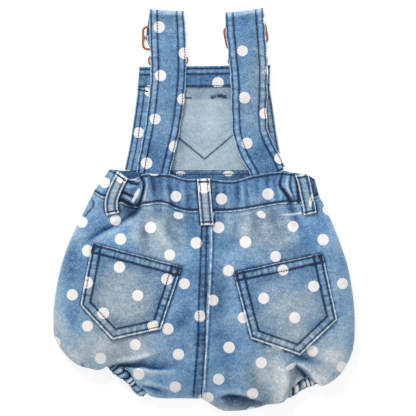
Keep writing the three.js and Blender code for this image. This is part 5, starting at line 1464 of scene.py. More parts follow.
@dataclass
class Seat:
    """The two seat panels, joined by a felled middle seam, and their patch pockets."""

    side_round: float = 5
    lower_round: float = 9
    dip: float = 3
    dip_width: float = 20
    felled: float = 9.2
    columns: int = 172
    rows: int = 212
    hem_rows: int = 10
    hem_share: float = 0.16
    pocket_gap: float = 0.9
    pocket_steps: int = 92
    flat: Pair = (0.2, 0.25)
    flat_area: float = 0.036
    pocket_flat: Pair = (0.112, 0.122)
    pocket_area: float = 0.0092
    row_gaps: tuple[float, float, float] = (2.4, 9.2, 9)
    grids: dict[str, Array] = field(default_factory=dict)
    pocket_grids: dict[str, Array] = field(default_factory=dict)

    def waist_line(self, side: str) -> tuple[SeamLine, Array]:
        """The seam below the waistband, from the side to the middle, and the heights at its points."""
        x, y, z = (BACK_WAISTBAND[key] for key in ("low_x", "low_y", "low_z"))
        middle = int(np.argmax(x > 6))
        pick = slice(0, middle + 1) if side == "left" else slice(None, middle - 1, -1)
        points = np.stack([x[pick], y[pick] - SEAM_GAP], axis=1)
        points[-1, 0] = CENTRE_SEAM["x"][0]
        return SeamLine(points), z[pick]

    def panel(self, side: str) -> Cloth:
        """Shapes one seat panel, down over the bubble and turned under to its hem."""
        hand = -1 if side == "left" else 1
        waist, heights = self.waist_line(side)
        edges = LOWER_EDGES[side]
        edge = SeamLine.of(edges)
        middle = SeamLine(points_of(CENTRE_SEAM) + (hand * SEAM_GAP / 2, 0))
        even = np.linspace(0, 1, self.columns + 1)
        u = mix(even, 1 - np.cos(even * math.pi / 2), 0.35)
        v = eased_down(np.linspace(0, 1, self.rows + 1))
        sides = SeamLine.of(SIDES[side])
        plan = patch(waist.at(u), edge.at(u), sides.at(v), middle.at(v), u, v)
        x, y = plan[..., 0], plan[..., 1]
        across, down = np.broadcast_arrays(u[None, :], v[:, None])
        fold = edge.column(edges["fold"], u)
        rim = mix(SIDE_SEAM_HEIGHT, fold[None, :], down**3)
        curve = np.sqrt((1 - (1 - across) ** self.side_round) * (1 - down**self.lower_round))
        from_seam = np.abs(x - middle.at(v)[:, None, 0])
        dip = self.dip * bell(from_seam, self.dip_width) * np.sin(math.pi * down)
        crown = self._crown(down)
        depth, dark = folded(x, y, SEAT_FOLDS)
        hollow = notch(x, y)
        sunk = depth + hollow + self._gathers(x, y, across, down, side)
        body = rim + (crown - dip - sunk - rim) * curve
        low = eased_down(np.array([0.2]))[0]
        risen = mix(np.clip(down / low, 0, 1), smooth(down / 0.22), np.clip(across * 4, 0, 1))
        height = mix(waist.column(heights, u)[None, :], body, risen)
        felled = smooth((self.felled + 0.6 - from_seam) / 1.2) if side == "left" else np.zeros_like(x)
        height = height + 0.7 * felled * np.clip(down * 20, 0, 1)
        top = np.dstack([plan, height])
        outer = np.concatenate([top, self._turned_under(edge, edges, u, hand)[1:]])
        self.grids[side] = outer
        cloth = Cloth(f"back_{side}", outer, DENIM, flat=self.flat, area=self.flat_area)
        light = cloth.relief(1.5, 7, 0.75) * 0.8 + cloth.relief(4, 20, 0.3) * 0.7
        # washed patches and seam wear, with painted shade in the folds (dark), the darker ovals, round the
        # pocket and below the band
        light[: self.rows + 1] += washed_and_shaded(x, y) + self._seam_wear_and_shade(x, y, from_seam, down, side) - dark
        light[: self.rows + 1] -= loop_shade(x, y)
        # shade painted in the left leg's hollow
        light[: self.rows + 1] -= (0 if side == "right" else 1.2) * smooth(hollow / 6)
        cloth.light = limited(light)
        cloth.tone = np.vstack([washed_and_shaded(x, y, "tone"), np.zeros((self.hem_rows, self.columns + 1))])
        cloth.dots = chart_gap(outer[..., :2], side)
        cloth.dots[: self.rows + 1] += NO_DOT * (down < 0.012) + NO_DOT * (from_seam < 0.6)
        return cloth

    @staticmethod
    def _crown(down: Array) -> Array:
        """The seat's full height over the middle, eased between its charted heights."""
        places, heights = SEAT_CROWN["down"], SEAT_CROWN["z"]
        index = np.clip(np.searchsorted(places, down) - 1, 0, len(places) - 2)
        share = (down - places[index]) / (places[index + 1] - places[index])
        return mix(heights[index], heights[index + 1], smooth(share))

    @staticmethod
    def _gathers(x: Array, y: Array, across: Array, down: Array, side: str) -> Array:
        """Small gathers below the waistband and above the leg, puckers round the pocket, and unevenness."""
        seed = 1.0 if side == "left" else 2.2
        total = -0.55 * rumple(x, y, seed)
        total += 0.75 * wander(x, 8.5, seed) * bell(down, 0.09)
        total += 0.9 * wander(across * 150, 7, seed + 1) * bell(1 - down, 0.05)
        gap, along = edge_gap(np.stack([x, y], axis=-1), points_of(POCKETS[side]))
        total += 0.4 * wander(along, 7, seed + 2) * bell(gap, 6)
        return total

    def _seam_wear_and_shade(self, x: Array, y: Array, from_seam: Array, down: Array, side: str) -> Array:
        """The pale worn lines and the stitch grooves along the seams, darker cloth beside the felled seam,
        and shadow painted round the pocket and below the waistband.
        """
        plan = np.stack([x, y], axis=-1)
        gap, along = edge_gap(plan, points_of(POCKETS[side]))
        # shadow painted along the pocket's edge, with puckers beside it
        light = -1.6 * bell(gap, 1.8) + 0.35 * wander(along, 7, 3) * bell(gap, 5)
        if side == "left":
            light -= 0.9 * smooth((self.felled + 0.5 - from_seam) / 1.5)
            light += edge_wear(from_seam, y, 2.6, 0.5)
            light += 0.45 * wander(y, 6, 5) * bell(from_seam - 4, 5)
            for line in CENTRE_ROWS:
                gap, _ = edge_gap(plan, SeamLine.of(line).points[::4], closed=False)
                light += row_shade(gap, (0,), 1.8, 0.8)
            gap, _ = edge_gap(plan, SCOOP_ROW, closed=False)
            light += row_shade(gap, (0,), 1.6, 0.9)
        else:
            light += edge_wear(from_seam, y, 2.6, 1.5) + row_shade(from_seam, (2.8,), 1.2, 1.1)
        from_waist = down * 190
        # shade painted just below the waistband, and a worn pale line under it
        light += row_shade(from_waist, (0.3,), 0.8, 0.8) + edge_wear(np.abs(from_waist - 3), x, 0.6, 0.9)
        return light

    def _turned_under(self, edge: SeamLine, edges: Table, u: Array, hand: int) -> Array:
        """The rows of cloth that turn under at the lower edge, to the hem."""
        share = np.linspace(0, 1, self.hem_rows + 1)[:, None]
        points = edge.at(u)
        along = np.gradient(points, axis=0)
        along /= np.linalg.norm(along, axis=1, keepdims=True)
        inwards = -hand * np.stack([-along[:, 1], along[:, 0]], axis=1)
        reach, fold, hem = (edge.column(edges[key], u)[None, :] for key in ("inwards", "fold", "hem"))
        plan = points[None] + inwards[None] * (reach * share**2)[..., None]
        return np.dstack([plan, mix(fold, hem, share)])

    def pocket(self, side: str, ground: Ground) -> Cloth:
        """Lays one patch pocket on its seat panel, with its turned edges and its top hem."""
        share = np.linspace(0, 1, self.pocket_steps + 1)
        plan = patch_plan(POCKETS[side], share, share)
        corners = points_of(POCKETS[side])
        gap, along = edge_gap(plan, corners)
        seed = 4.0 if side == "left" else 5.3
        points, normals = ground.drop(plan)
        across_hem = np.broadcast_to(share[:, None], gap.shape)
        normals = soften(normals, 2.5)
        normals /= np.linalg.norm(normals, axis=2, keepdims=True)
        lift = self.pocket_gap + DENIM + 0.35 * smooth((9.5 - gap) / 1.5)
        lift = lift + 0.45 * smooth((0.115 - across_hem) / 0.02)
        lift += 0.3 * wander(along, 6.5, seed) * bell(gap - 3, 4)
        lift -= 0.35 * bell(gap - 8.6, 1.2) + 0.15 * rumple(plan[..., 0], plan[..., 1], seed)
        outer = points + normals * lift[..., None]
        self.pocket_grids[side] = outer
        cloth = Cloth(f"pocket_{side}", outer, DENIM, flat=self.pocket_flat, area=self.pocket_area)
        lengths = run_of(np.vstack([corners, corners[:1]]))
        pale = np.interp(along, lengths, (0.8, 1.0, 1.5, 2.3, 2.0, 0.8))
        light = cloth.relief(1.5, 7, 0.9) * 0.7 + washed_and_shaded(plan[..., 0], plan[..., 1])
        light += edge_wear(gap, along, 2.4, pale)
        light += 0.8 * wander(along, 5.2, seed) * bell(gap - 5, 3.4)
        for corner in corners[:2]:
            away = np.hypot(plan[..., 0] - corner[0], plan[..., 1] - corner[1])
            light -= 1.9 * bell(away - 3, 4.5, 4) * (0.8 + 0.4 * wander(along, 2.3, seed))
        light -= 0.1 * smooth((9 - gap) / 1.5) + 0.4 * bell(gap - 12.5, 4.5)
        for line in pocket_rows(POCKETS[side], *self.row_gaps):
            from_row, _ = edge_gap(plan, line, closed=False)
            light += row_shade(from_row, (0,), 2.7, 0.95)
        cloth.light = limited(light)
        cloth.tone = washed_and_shaded(plan[..., 0], plan[..., 1], "tone") + 0.15
        cloth.dots = chart_gap(plan, f"pocket_{side}")
        return cloth

    def sew(self) -> None:
        """Sews the pockets on, with their corner tacks and frayed edges, and the felled seam."""
        thread = Stitcher("stitches_seat")
        ground = Ground([*self.grids.values(), *self.pocket_grids.values()])
        fray = Stitcher("frayed_pockets", width=0.35, high=0.3)
        for side in ("left", "right"):
            outline = points_of(POCKETS[side])
            for line in pocket_rows(POCKETS[side], *self.row_gaps):
                thread.follow(ground, line)
            for start, other, hand in ((outline[0], outline[1], 1), (outline[1], outline[0], -1)):
                step = (other - start) / np.linalg.norm(other - start)
                down = np.array([step[1], -step[0]]) * hand
                for gap in (1.4, 8.6):
                    corner = start + step * gap + down * 1.2
                    thread.tack(ground, corner, corner + down * 6.8, 1.8)
                thread.tack(ground, start + step * 1.6 + down * 1.6, start + step * 8.4 + down * 1.6, 1.2)
            edge = inset(outline, (0.3,) * 5)
            fray.fringe(ground, edge[[4, 3, 2]], 1.3, 1.1)
            fray.fringe(ground, edge[[0, 4]], 1.1, 1.9)
            fray.fringe(ground, edge[[0, 1]], 0.9, 2.3)
        for line in CENTRE_ROWS:
            thread.follow(ground, SeamLine.of(line).points)
        thread.follow(ground, SCOOP_ROW)
        thread.build(Finishes.thread)
        fray.fringe(ground, LOOSE_END, 0.7, 0.5)
        fray.build(Finishes.fray)


@dataclass
class Front:
    """The front, which lies on the surface: two panels and a plain waistband."""

    side_turn: float = 13
    columns: int = 84
    rows: int = 104
    band_steps: tuple[int, int] = (84, 14)
    flat: Pair = (0.18, 0.22)
    flat_area: float = 0.03
    band_flat: Pair = (0.235, 0.037)
    grids: list[Array] = field(default_factory=list)

    def turned_up(self, from_side: Array, height: Array | float) -> Array:
        """How high the cloth is where it turns up along its side to the seam."""
        share = np.clip(1 - from_side / self.side_turn, 0, 1)
        return height * (1 - np.sqrt(1 - share**2))

    def panel(self, side: str) -> Cloth:
        """Shapes one front panel."""
        hand = -1 if side == "left" else 1
        middle = SeamLine(points_of(FRONT_MIDDLE) + (hand * SEAM_GAP / 2, 0))
        waist_rows = FRONT_WAISTS[side]
        waist = SeamLine(points_of(waist_rows) - (0, SEAM_GAP))
        edge, sides = SeamLine.of(FRONT_EDGES[side]), SeamLine.of(SIDES[side])
        even = np.linspace(0, 1, self.columns + 1)
        u = mix(even, 1 - np.cos(even * math.pi / 2), 0.85)
        v = eased_down(np.linspace(0, 1, self.rows + 1))
        plan = patch(waist.at(u), edge.at(u), sides.at(v), middle.at(v), u, v)
        low = eased_down(np.array([0.2]))[0]
        top = mix(5.0, SIDE_SEAM_HEIGHT, np.clip(v / low, 0, 1))[:, None] - SEAM_GAP
        from_side = np.linalg.norm(plan - plan[:, :1], axis=2)
        outer = np.dstack([plan, self.turned_up(from_side, top)])
        self.grids.append(outer)
        cloth = Cloth(f"front_{side}", outer, DENIM, up=-1, flat=self.flat, area=self.flat_area)
        cloth.light = washed_and_shaded(plan[..., 0], plan[..., 1]) * 0.4 + 0.3 * rumple(plan[..., 0], plan[..., 1], 6)
        cloth.light -= 0.8 * bell(plan[..., 0] - middle.at(v)[:, None, 0], 1.5)
        cloth.dots = net_gap(plan, NET_TURN, NET_START)
        return cloth

    def band(self) -> Cloth:
        """Shapes the front waistband, turned up at its sides."""
        top, low = SeamLine.of(FRONT_BAND, "top_x", "top_y"), SeamLine.of(FRONT_BAND, "low_x", "low_y")
        run = np.linspace(0, 1, self.band_steps[0] + 1)
        run = mix(run, (1 - np.cos(run * math.pi)) / 2, 0.6)
        share = np.linspace(0, 1, self.band_steps[1] + 1)[:, None, None]
        plan = mix(top.at(run)[None], low.at(run)[None], share)
        plan[0, :, 1] += 0.8 * smooth((78 - np.abs(plan[0, :, 0])) / 6)
        from_side = np.broadcast_to(np.minimum(run, 1 - run) * low.length, plan.shape[:2])
        outer = np.dstack([plan, self.turned_up(from_side, BACK_WAISTBAND["top_z"][0] - SEAM_GAP)])
        self.grids.append(outer)
        cloth = Cloth("waistband_front", outer, WAISTBAND, Weave.BOTH_FACES, up=-1, flat=self.band_flat)
        edge = np.abs(np.linspace(0, 1, self.band_steps[1] + 1)[:, None] - 0.5) * -68 + 34
        gap = np.broadcast_to(edge, plan.shape[:2])
        # worn edges and stitch grooves, and shade painted over the whole band, which lies under the other
        # layers
        cloth.light = edge_wear(gap, plan[..., 0], 1.2, 0.6) + row_shade(gap, (1.6, 3.6), 1.8, 0.7) - 0.9
        cloth.dots = chart_gap(plan, "front_band")
        return cloth

    def sew(self) -> None:
        """Sews the rows that face the surface: middle seam, scoop pockets, side seams and band."""
        thread = Stitcher("stitches_front")
        ground = Ground(self.grids)
        for aside in (-4.5, -1.2):
            line = np.array([(3 + aside, 2), (3 + aside, -40), (1 + aside, -120), (-1.5 + aside, -187)])
            thread.follow(ground, SeamLine(line).points, above=False)
        for hand in (-1, 1):
            for gap in (0, 6):
                scoop = np.array([(62 + gap, 3), (70, -16 + gap * 0.6), (92, -30 + gap), (121, -31 + gap)])
                thread.follow(ground, SeamLine(scoop * (hand, 1)).points, above=False)
            side = np.array([(101, 1), (115, -35), (131, -80), (136, -128)]) * (hand, 1)
            thread.follow(ground, SeamLine(side).points, above=False)
        for y in (8, 35.5):
            thread.follow(ground, np.array([(-86, y + 1), (-60, y), (60, y), (88, y + 1)]), above=False)
        thread.follow(Ground([self.grids[-1] + (0, 0, WAISTBAND)]), np.array([(-56, 35.4), (64, 35.4)]))
        thread.build(Finishes.thread)


@dataclass
class Waist:
    """The back waistband, a casing with elastic in it, and the three belt loops over it."""

    steps: tuple[int, int] = (270, 34)
    puff: float = 1.4
    flat: Pair = (0.29, 0.034)
    loop_width: float = 12.5
    loop_steps: tuple[int, int] = (44, 14)
    loop_flat: Pair = (0.0125, 0.05)
    grid: Array | None = None
    loop_grids: dict[str, Array] = field(default_factory=dict)

    def band(self) -> Cloth:
        """Shapes the gathered band."""
        rows = len(BACK_WAISTBAND["top_x"])
        top = SeamLine.of(BACK_WAISTBAND, "top_x", "top_y")
        low = SeamLine.of(BACK_WAISTBAND, "low_x", "low_y")
        share = np.linspace(0, 1, self.steps[0] + 1)
        edges = []
        for line, key in ((top, "top_z"), (low, "low_z")):
            plan = read_off(line.points, line.rows, share)
            height = np.interp(share, np.linspace(0, 1, rows), BACK_WAISTBAND[key])
            edges.append(np.column_stack([plan, height]))
        across = np.linspace(0, 1, self.steps[1] + 1)[:, None]
        outer = mix(edges[0][None], edges[1][None], across[..., None])
        x, y = outer[..., 0].copy(), outer[..., 1].copy()
        outer[..., 2] += self.puff * np.sin(math.pi * across) * np.sqrt(np.sin(math.pi * share))[None]
        depth, dark = folded(x, y, BAND_FOLDS)
        outer[..., 2] -= depth
        middle = bell(across - 0.5, 0.42, 4)
        puckers = 0.3 * wander(x, 3.6, 3) * bell(across - 0.9, 0.12)
        outer[..., 2] += 0.55 * wander(x + 0.12 * y, 7.5, 7) * middle + puckers
        self.grid = outer
        cloth = Cloth("waistband_back", outer, WAISTBAND, Weave.BOTH_FACES, flat=self.flat)
        light = cloth.relief(1.2, 5, 1.0) * 0.9 + washed_and_shaded(x, y)
        width = np.linalg.norm(edges[1] - edges[0], axis=1)[None]
        from_top, from_low = across * width, (1 - across) * width
        light += edge_wear(from_top, x, 2.2, 0.8) + edge_wear(from_low, x, 2.8, 0.9)
        light += row_shade(from_top, (2.2,), 2.0, 0.9) + row_shade(from_low, (2.4,), 2.8, 1.1)
        light += 0.45 * wander(x, 4.2, 3) * bell(from_low - 5, 3)
        # painted shade in the band's folds (dark) and beside the belt loops
        cloth.light = limited(light - 0.2 - dark - loop_shade(x, y))
        cloth.tone = washed_and_shaded(x, y, "tone")
        cloth.dots = chart_gap(outer[..., :2], "band")
        return cloth

    def loop(self, name: str) -> Cloth:
        """Shapes one belt loop, a folded strip with two rows of stitches."""
        rows = dict(BELT_LOOPS[name], width=np.full(len(BELT_LOOPS[name]["x"]), self.loop_width))
        stations = resampled(rows, self.loop_steps[0], "z")
        stations[:, 2] += DENIM
        shares = np.linspace(-0.5, 0.5, self.loop_steps[1] + 1)
        outer = cross_lines(stations, shares)
        edge = (0.5 - np.abs(shares))[None, :] * self.loop_width
        run = np.linspace(0, 1, self.loop_steps[0] + 1)[:, None]
        outer[..., 2] += 0.25 * smooth(edge / 1.5) - 0.3 * bell(edge - 2.6, 0.8)
        ends = bell(run, 0.06) + bell(1 - run, 0.06)
        outer[..., 2] -= 0.5 * ends
        self.loop_grids[name] = outer
        cloth = Cloth(f"belt_loop_{name}", outer, DENIM, Weave.BOTH_FACES, flat=self.loop_flat)
        gap = np.broadcast_to(edge, outer.shape[:2])
        light = edge_wear(gap, outer[..., 1], 2.2, 0.9) + row_shade(gap, (2.5,), 2.8, 1.0) + 2.0 * ends
        light += (0.5 if name == "right" else 0.9) + 0.5 * wander(outer[..., 1], 5, 2)
        cloth.light = limited(light)
        cloth.tone = np.full(gap.shape, 0.2 if name == "right" else 0.5)
        cloth.dots = chart_gap(outer[..., :2], f"loop_{name}")
        return cloth

    def sew(self) -> None:
        """Sews the band's two edges and the belt loops, with their tacks and frayed ends."""
        thread = Stitcher("stitches_waist")
        fray = Stitcher("frayed_loops", width=0.35, high=0.3)
        ground = Ground([self.grid, *self.loop_grids.values()])
        for row in (0.08, 0.93):
            thread.along(self.grid, row=row)
        for grid in self.loop_grids.values():
            for column in (0.2, 0.8):
                thread.along(grid, column=column)
            for row, edge in ((3, 0), (-4, -1)):
                thread.tack(ground, tuple(grid[row, 1, :2]), tuple(grid[row, -2, :2]), 2.0)
                fray.fringe(ground, grid[edge, [0, 4, 9, -1], :2], 1.9, 0.7)
            for column in (0, -1):
                fray.fringe(ground, grid[::6, column, :2], 0.9, 1.7)
        fray.fringe(ground, FRAYED_CURL, 1.4, 0.4)
        thread.build(Finishes.thread)
        fray.build(Finishes.fray)


@dataclass
class Bib:
    """The bib, wrong side up, with its turned-in facings and the pocket on its outer face."""

    facing: float = 21
    side_facing: float = 14
    steps: tuple[int, int] = (96, 84)
    flat: Pair = (0.16, 0.105)
    flat_area: float = 0.015
    facing_flat: Pair = (0.136, 0.021)
    side_flat: Pair = (0.014, 0.084)
    pocket_flat: Pair = (0.078, 0.066)
    pocket_area: float = 0.0042
    grids: dict[str, Array] = field(default_factory=dict)

    def _plan(self, across: Array, down: Array) -> Array:
        """The bib's plan at a grid of shares, across from its left edge and down from its top."""
        left, right = (SeamLine.of(BIB_EDGES, f"{side}_x", f"{side}_y") for side in ("left", "right"))
        return mix(left.at(down), right.at(down), across[..., None])

    def _laid(self, name: str, across: Array, down: Array, height: float) -> Array:
        """A layer over the bib's place, at a height above its rest."""
        plan = self._plan(across, down)
        outer = np.dstack([plan, bib_rest(plan[..., 0], plan[..., 1]) + height])
        self.grids[name] = outer
        return outer

    def pieces(self) -> list[Cloth]:
        """Shapes the bib and its facings."""
        left = SeamLine.of(BIB_EDGES, "left_x", "left_y")
        levels, places = (np.linspace(0, 1, count + 1) for count in (self.steps[1], self.steps[0]))
        down, across = np.meshgrid(levels, places, indexing="ij")
        outer = self._laid("bib", across, down, 0)
        x, y = outer[..., 0], outer[..., 1]
        bib = Cloth("bib", outer, DENIM, up=-1, flat=self.flat, area=self.flat_area)
        bib.light = 0.3 + 0.5 * rumple(x, y, 8) - 1.3 * smooth((y - 110) / 2.5) - 0.5 * bell(y - 110.5, 1.2)
        tuft, _ = edge_gap(outer[..., :2], np.array([(9, 112.5), (15, 114.5), (21, 113)]), closed=False)
        bib.light -= 2.5 * bell(tuft, 1.6) * (0.7 + 0.5 * wander(x + y, 3, 2))
        gap, _ = edge_gap(outer[..., :2], pocket_rows(POCKETS["bib"], 2, 9, 3)[0], closed=False)
        bib.light += row_shade(gap, (0,), 3.2, 1.0)
        gap, _ = edge_gap(outer[..., :2], pocket_rows(POCKETS["bib"], 9, 9, 3)[0], closed=False)
        bib.light += row_shade(gap, (0,), 0.5, 0.9)
        bib.light += washed_and_shaded(x, y)
        bib.tone = np.full_like(x, -0.3)
        bib.dots = net_gap(outer[..., :2], NET_TURN, NET_START)
        made = [bib]
        top = self.facing / left.length
        over = DENIM + SEAM_GAP + FACING
        down, across = np.meshgrid(np.linspace(0, top, 23), np.linspace(0, 1, 121), indexing="ij")
        outer = self._laid("bib_facing_top", across, down, over)
        outer[..., 2] += 0.25 * wander(outer[..., 0], 9, 4) * smooth(down / top)
        piece = Cloth("bib_facing_top", outer, FACING, flat=self.facing_flat)
        from_top = down * left.length
        light = edge_wear(from_top, outer[..., 0], 1.8, 0.8) + 0.35 * wander(outer[..., 0], 7, 4)
        light += row_shade(from_top, (2.6, 8, 20), 2.0, 0.9) + 0.7 * bell(from_top - 5, 2)
        piece.light = light - 0.75
        piece.dots = chart_gap(outer[..., :2], "bib_facing")
        made.append(piece)
        below = top + SEAM_GAP / left.length
        for side in ("left", "right"):
            down, step = np.meshgrid(np.linspace(below, 1, 78), np.linspace(0, 1, 15), indexing="ij")
            start, end = (self._plan(np.full_like(down, share), down) for share in (0, 1))
            width = np.linalg.norm(start - end, axis=2)
            share = self.side_facing / width * step
            across = share if side == "left" else 1 - share
            outer = self._laid(f"bib_facing_{side}", across, down, over)
            piece = Cloth(f"bib_facing_{side}", outer, FACING, flat=self.side_flat)
            gap = step * self.side_facing
            light = edge_wear(gap, outer[..., 1], 1.8, 0.8) + row_shade(gap, (1.8, 7), 2.0, 0.8)
            piece.light = light + 0.1 + 0.35 * wander(outer[..., 1], 7, 6)
            piece.tone = np.full_like(gap, 0 if side == "left" else 0.6)
            piece.dots = chart_gap(outer[..., :2], "bib_facing")
            made.append(piece)
        return made

    def pocket(self) -> Cloth:
        """Shapes the pocket on the bib's outer face, which lies on the surface."""
        share = np.linspace(0, 1, 61)
        plan = patch_plan(POCKETS["bib"], share, share)
        height = (bib_rest(plan[..., 0], plan[..., 1]) - BIB_REST) * 0.7
        outer = np.dstack([plan, height])
        self.grids["bib_pocket"] = outer
        gap, along = edge_gap(plan, points_of(POCKETS["bib"]))
        cloth = Cloth("bib_pocket", outer, DENIM, up=-1, flat=self.pocket_flat, area=self.pocket_area)
        cloth.light = edge_wear(gap, along, 2.2, 1.2) + row_shade(gap, (2.4, 9), 2.0, 0.8)
        cloth.dots = net_gap(plan, 12, (-5, 80))
        return cloth

    def sew(self) -> None:
        """Sews the facings down, and the pocket, whose rows come through the bib."""
        thread = Stitcher("stitches_bib")
        for row in (0.12, 0.38, 0.95):
            thread.along(self.grids["bib_facing_top"], row=row)
        for side in ("left", "right"):
            for column in (0.12, 0.5):
                thread.along(self.grids[f"bib_facing_{side}"], column=column)
        over = Ground([self.grids["bib"] + (0, 0, DENIM)])
        under = Ground([self.grids["bib_pocket"]])
        thread.follow(over, pocket_rows(POCKETS["bib"], 2, 9, 3)[0])
        thread.tack(Ground([self.grids["bib_facing_left"]]), (-67, 120.6), (-56.5, 118.4), 1.7)
        thread.tack(over, (-20, 112.2), (-12.5, 111.8), 1.4)
        for line in pocket_rows(POCKETS["bib"], 2, 9, 9):
            thread.follow(under, line, above=False)
        thread.build(Finishes.thread)
        tuft = Stitcher("bib_tuft", width=0.5, high=0.4)
        for step in (0, 1.1, 2.2):
            tuft.fringe(over, np.array([(7.5, 111.6 + step), (15, 113.4 + step), (22, 112 + step)]), 3.2, 1.3)
        tuft.build(Finishes.thread)


@dataclass
class Strap:
    """One long strap: over the shoulder fold, round the buckle's bar and back up to the slider."""

    side: str
    columns: int = 34
    run_steps: int = 150
    flat: Pair = (0.036, 0.27)
    border: float = 8
    grid: Array | None = None

    def stations(self) -> tuple[Array, int]:
        """The strip's stations, and how many of them are on its upper run."""
        runs = STRAP_RUNS[self.side]
        upper = resampled(runs, self.run_steps, "rise")
        line = cross_lines(upper, np.linspace(-0.5, 0.5, 9))
        rest = bib_rest(line[..., 0], np.minimum(line[..., 1], 140)).max(axis=1)
        upper[:, 2] += soften(rest[:, None], 4)[:, 0] + STRAP_ON_BIB
        top = upper[-1]
        fold = turn_round(top, top[1], top[2] / 2, top[2] / 2, (90, -90), 14)
        lower = resampled(STRAP_RETURNS[self.side], 34)
        buckle_x, buckle_y = BUCKLES[self.side]
        slider_x, slider_y, slider_lean = SLIDERS[self.side]
        at_bar = np.array([buckle_x, buckle_y, 0, 0, 31])
        bar = turn_round(at_bar, buckle_y, WIRE_HEIGHT, WIRE_HEIGHT, (-90, -270), 14)
        at_slider = np.array([slider_x, slider_y, 2 * WIRE_HEIGHT, slider_lean, 33])
        first, last = at_bar + (0, 3, 2 * WIRE_HEIGHT, 0, 0), at_slider - (0, 3, 0, 0, 0)
        tail = mix(first, last, np.linspace(0, 1, 14)[:, None])
        end = turn_round(at_slider, slider_y, WIRE_HEIGHT, WIRE_HEIGHT, (90, 0), 7)
        return np.vstack([upper, fold[1:], lower, bar, tail, end]), len(upper) + 7

    def cloth(self) -> Cloth:
        """Shapes the strap, with its turned borders raised beside two rows of stitches."""
        stations, seen = self.stations()
        seed = 1.3 if self.side == "left" else 2.6
        shares = np.linspace(-0.5, 0.5, self.columns + 1)
        run = run_of(stations[:, :3])[:, None]
        outer = cross_lines(stations, shares)
        edge = (0.5 - np.abs(shares))[None, :] * stations[:, 4:]
        normals = normals_of(outer)
        if normals[: self.run_steps, :, 2].mean() < 0:
            normals = -normals
        lift = 0.3 * smooth((self.border + 0.8 - edge) / 1.2) - 0.25 * bell(edge - self.border, 0.9)
        lift += 0.18 * wander(run, 6.5, seed) * bell(edge - 4.5, 4) - 0.3 * bell(edge, 0.8)
        shown = (np.arange(len(stations)) < self.run_steps)[:, None]
        lift += shown * 0.5 * rumple(outer[..., 0], outer[..., 1], seed)
        side = np.where(shares > 0, 1.0, -1.0)[None, :] * np.abs(shares[None, :]) * 2
        outer = outer + normals * lift[..., None]
        outer[..., 0] += shown * 0.45 * side * wander(run + 40 * (side > 0), 15, seed) * np.abs(side) ** 3
        outer[..., 2] = np.maximum(outer[..., 2], 0)
        self.grid = outer
        cloth = Cloth(f"strap_{self.side}", outer, STRAP, Weave.BOTH_FACES, flat=self.flat)
        light = cloth.relief(1.2, 5, 1.0) + washed_and_shaded(outer[..., 0], outer[..., 1]) * shown
        worn = edge_wear(edge, run + 30 * (shares > 0), 2.2, 0.75)
        light += worn + row_shade(edge, (1.8, self.border), 2.1, 0.8)
        light += (0.25 + 0.45 * wander(run, 6.5, seed)) * bell(edge - 4.7, 2.6)
        cloth.light = np.clip(light - 0.1, -3, 3)
        cloth.tone = washed_and_shaded(outer[..., 0], outer[..., 1], "tone") * shown
        charted = chart_gap(outer[..., :2], f"strap_{self.side}")
        hidden = net_gap(np.dstack([outer[..., 0], run + 0 * edge]), 31, (-38, 12))
        cloth.dots = np.where(np.arange(len(stations))[:, None] < seen, charted, hidden)
        return cloth

    def sew(self) -> None:
        """Sews the four rows down the strap."""
        thread = Stitcher(f"stitches_strap_{self.side}")
        for gap in (1.7 / 36, self.border / 36):
            for column in (gap, 1 - gap):
                thread.along(self.grid, column=column)
        thread.build(Finishes.thread)


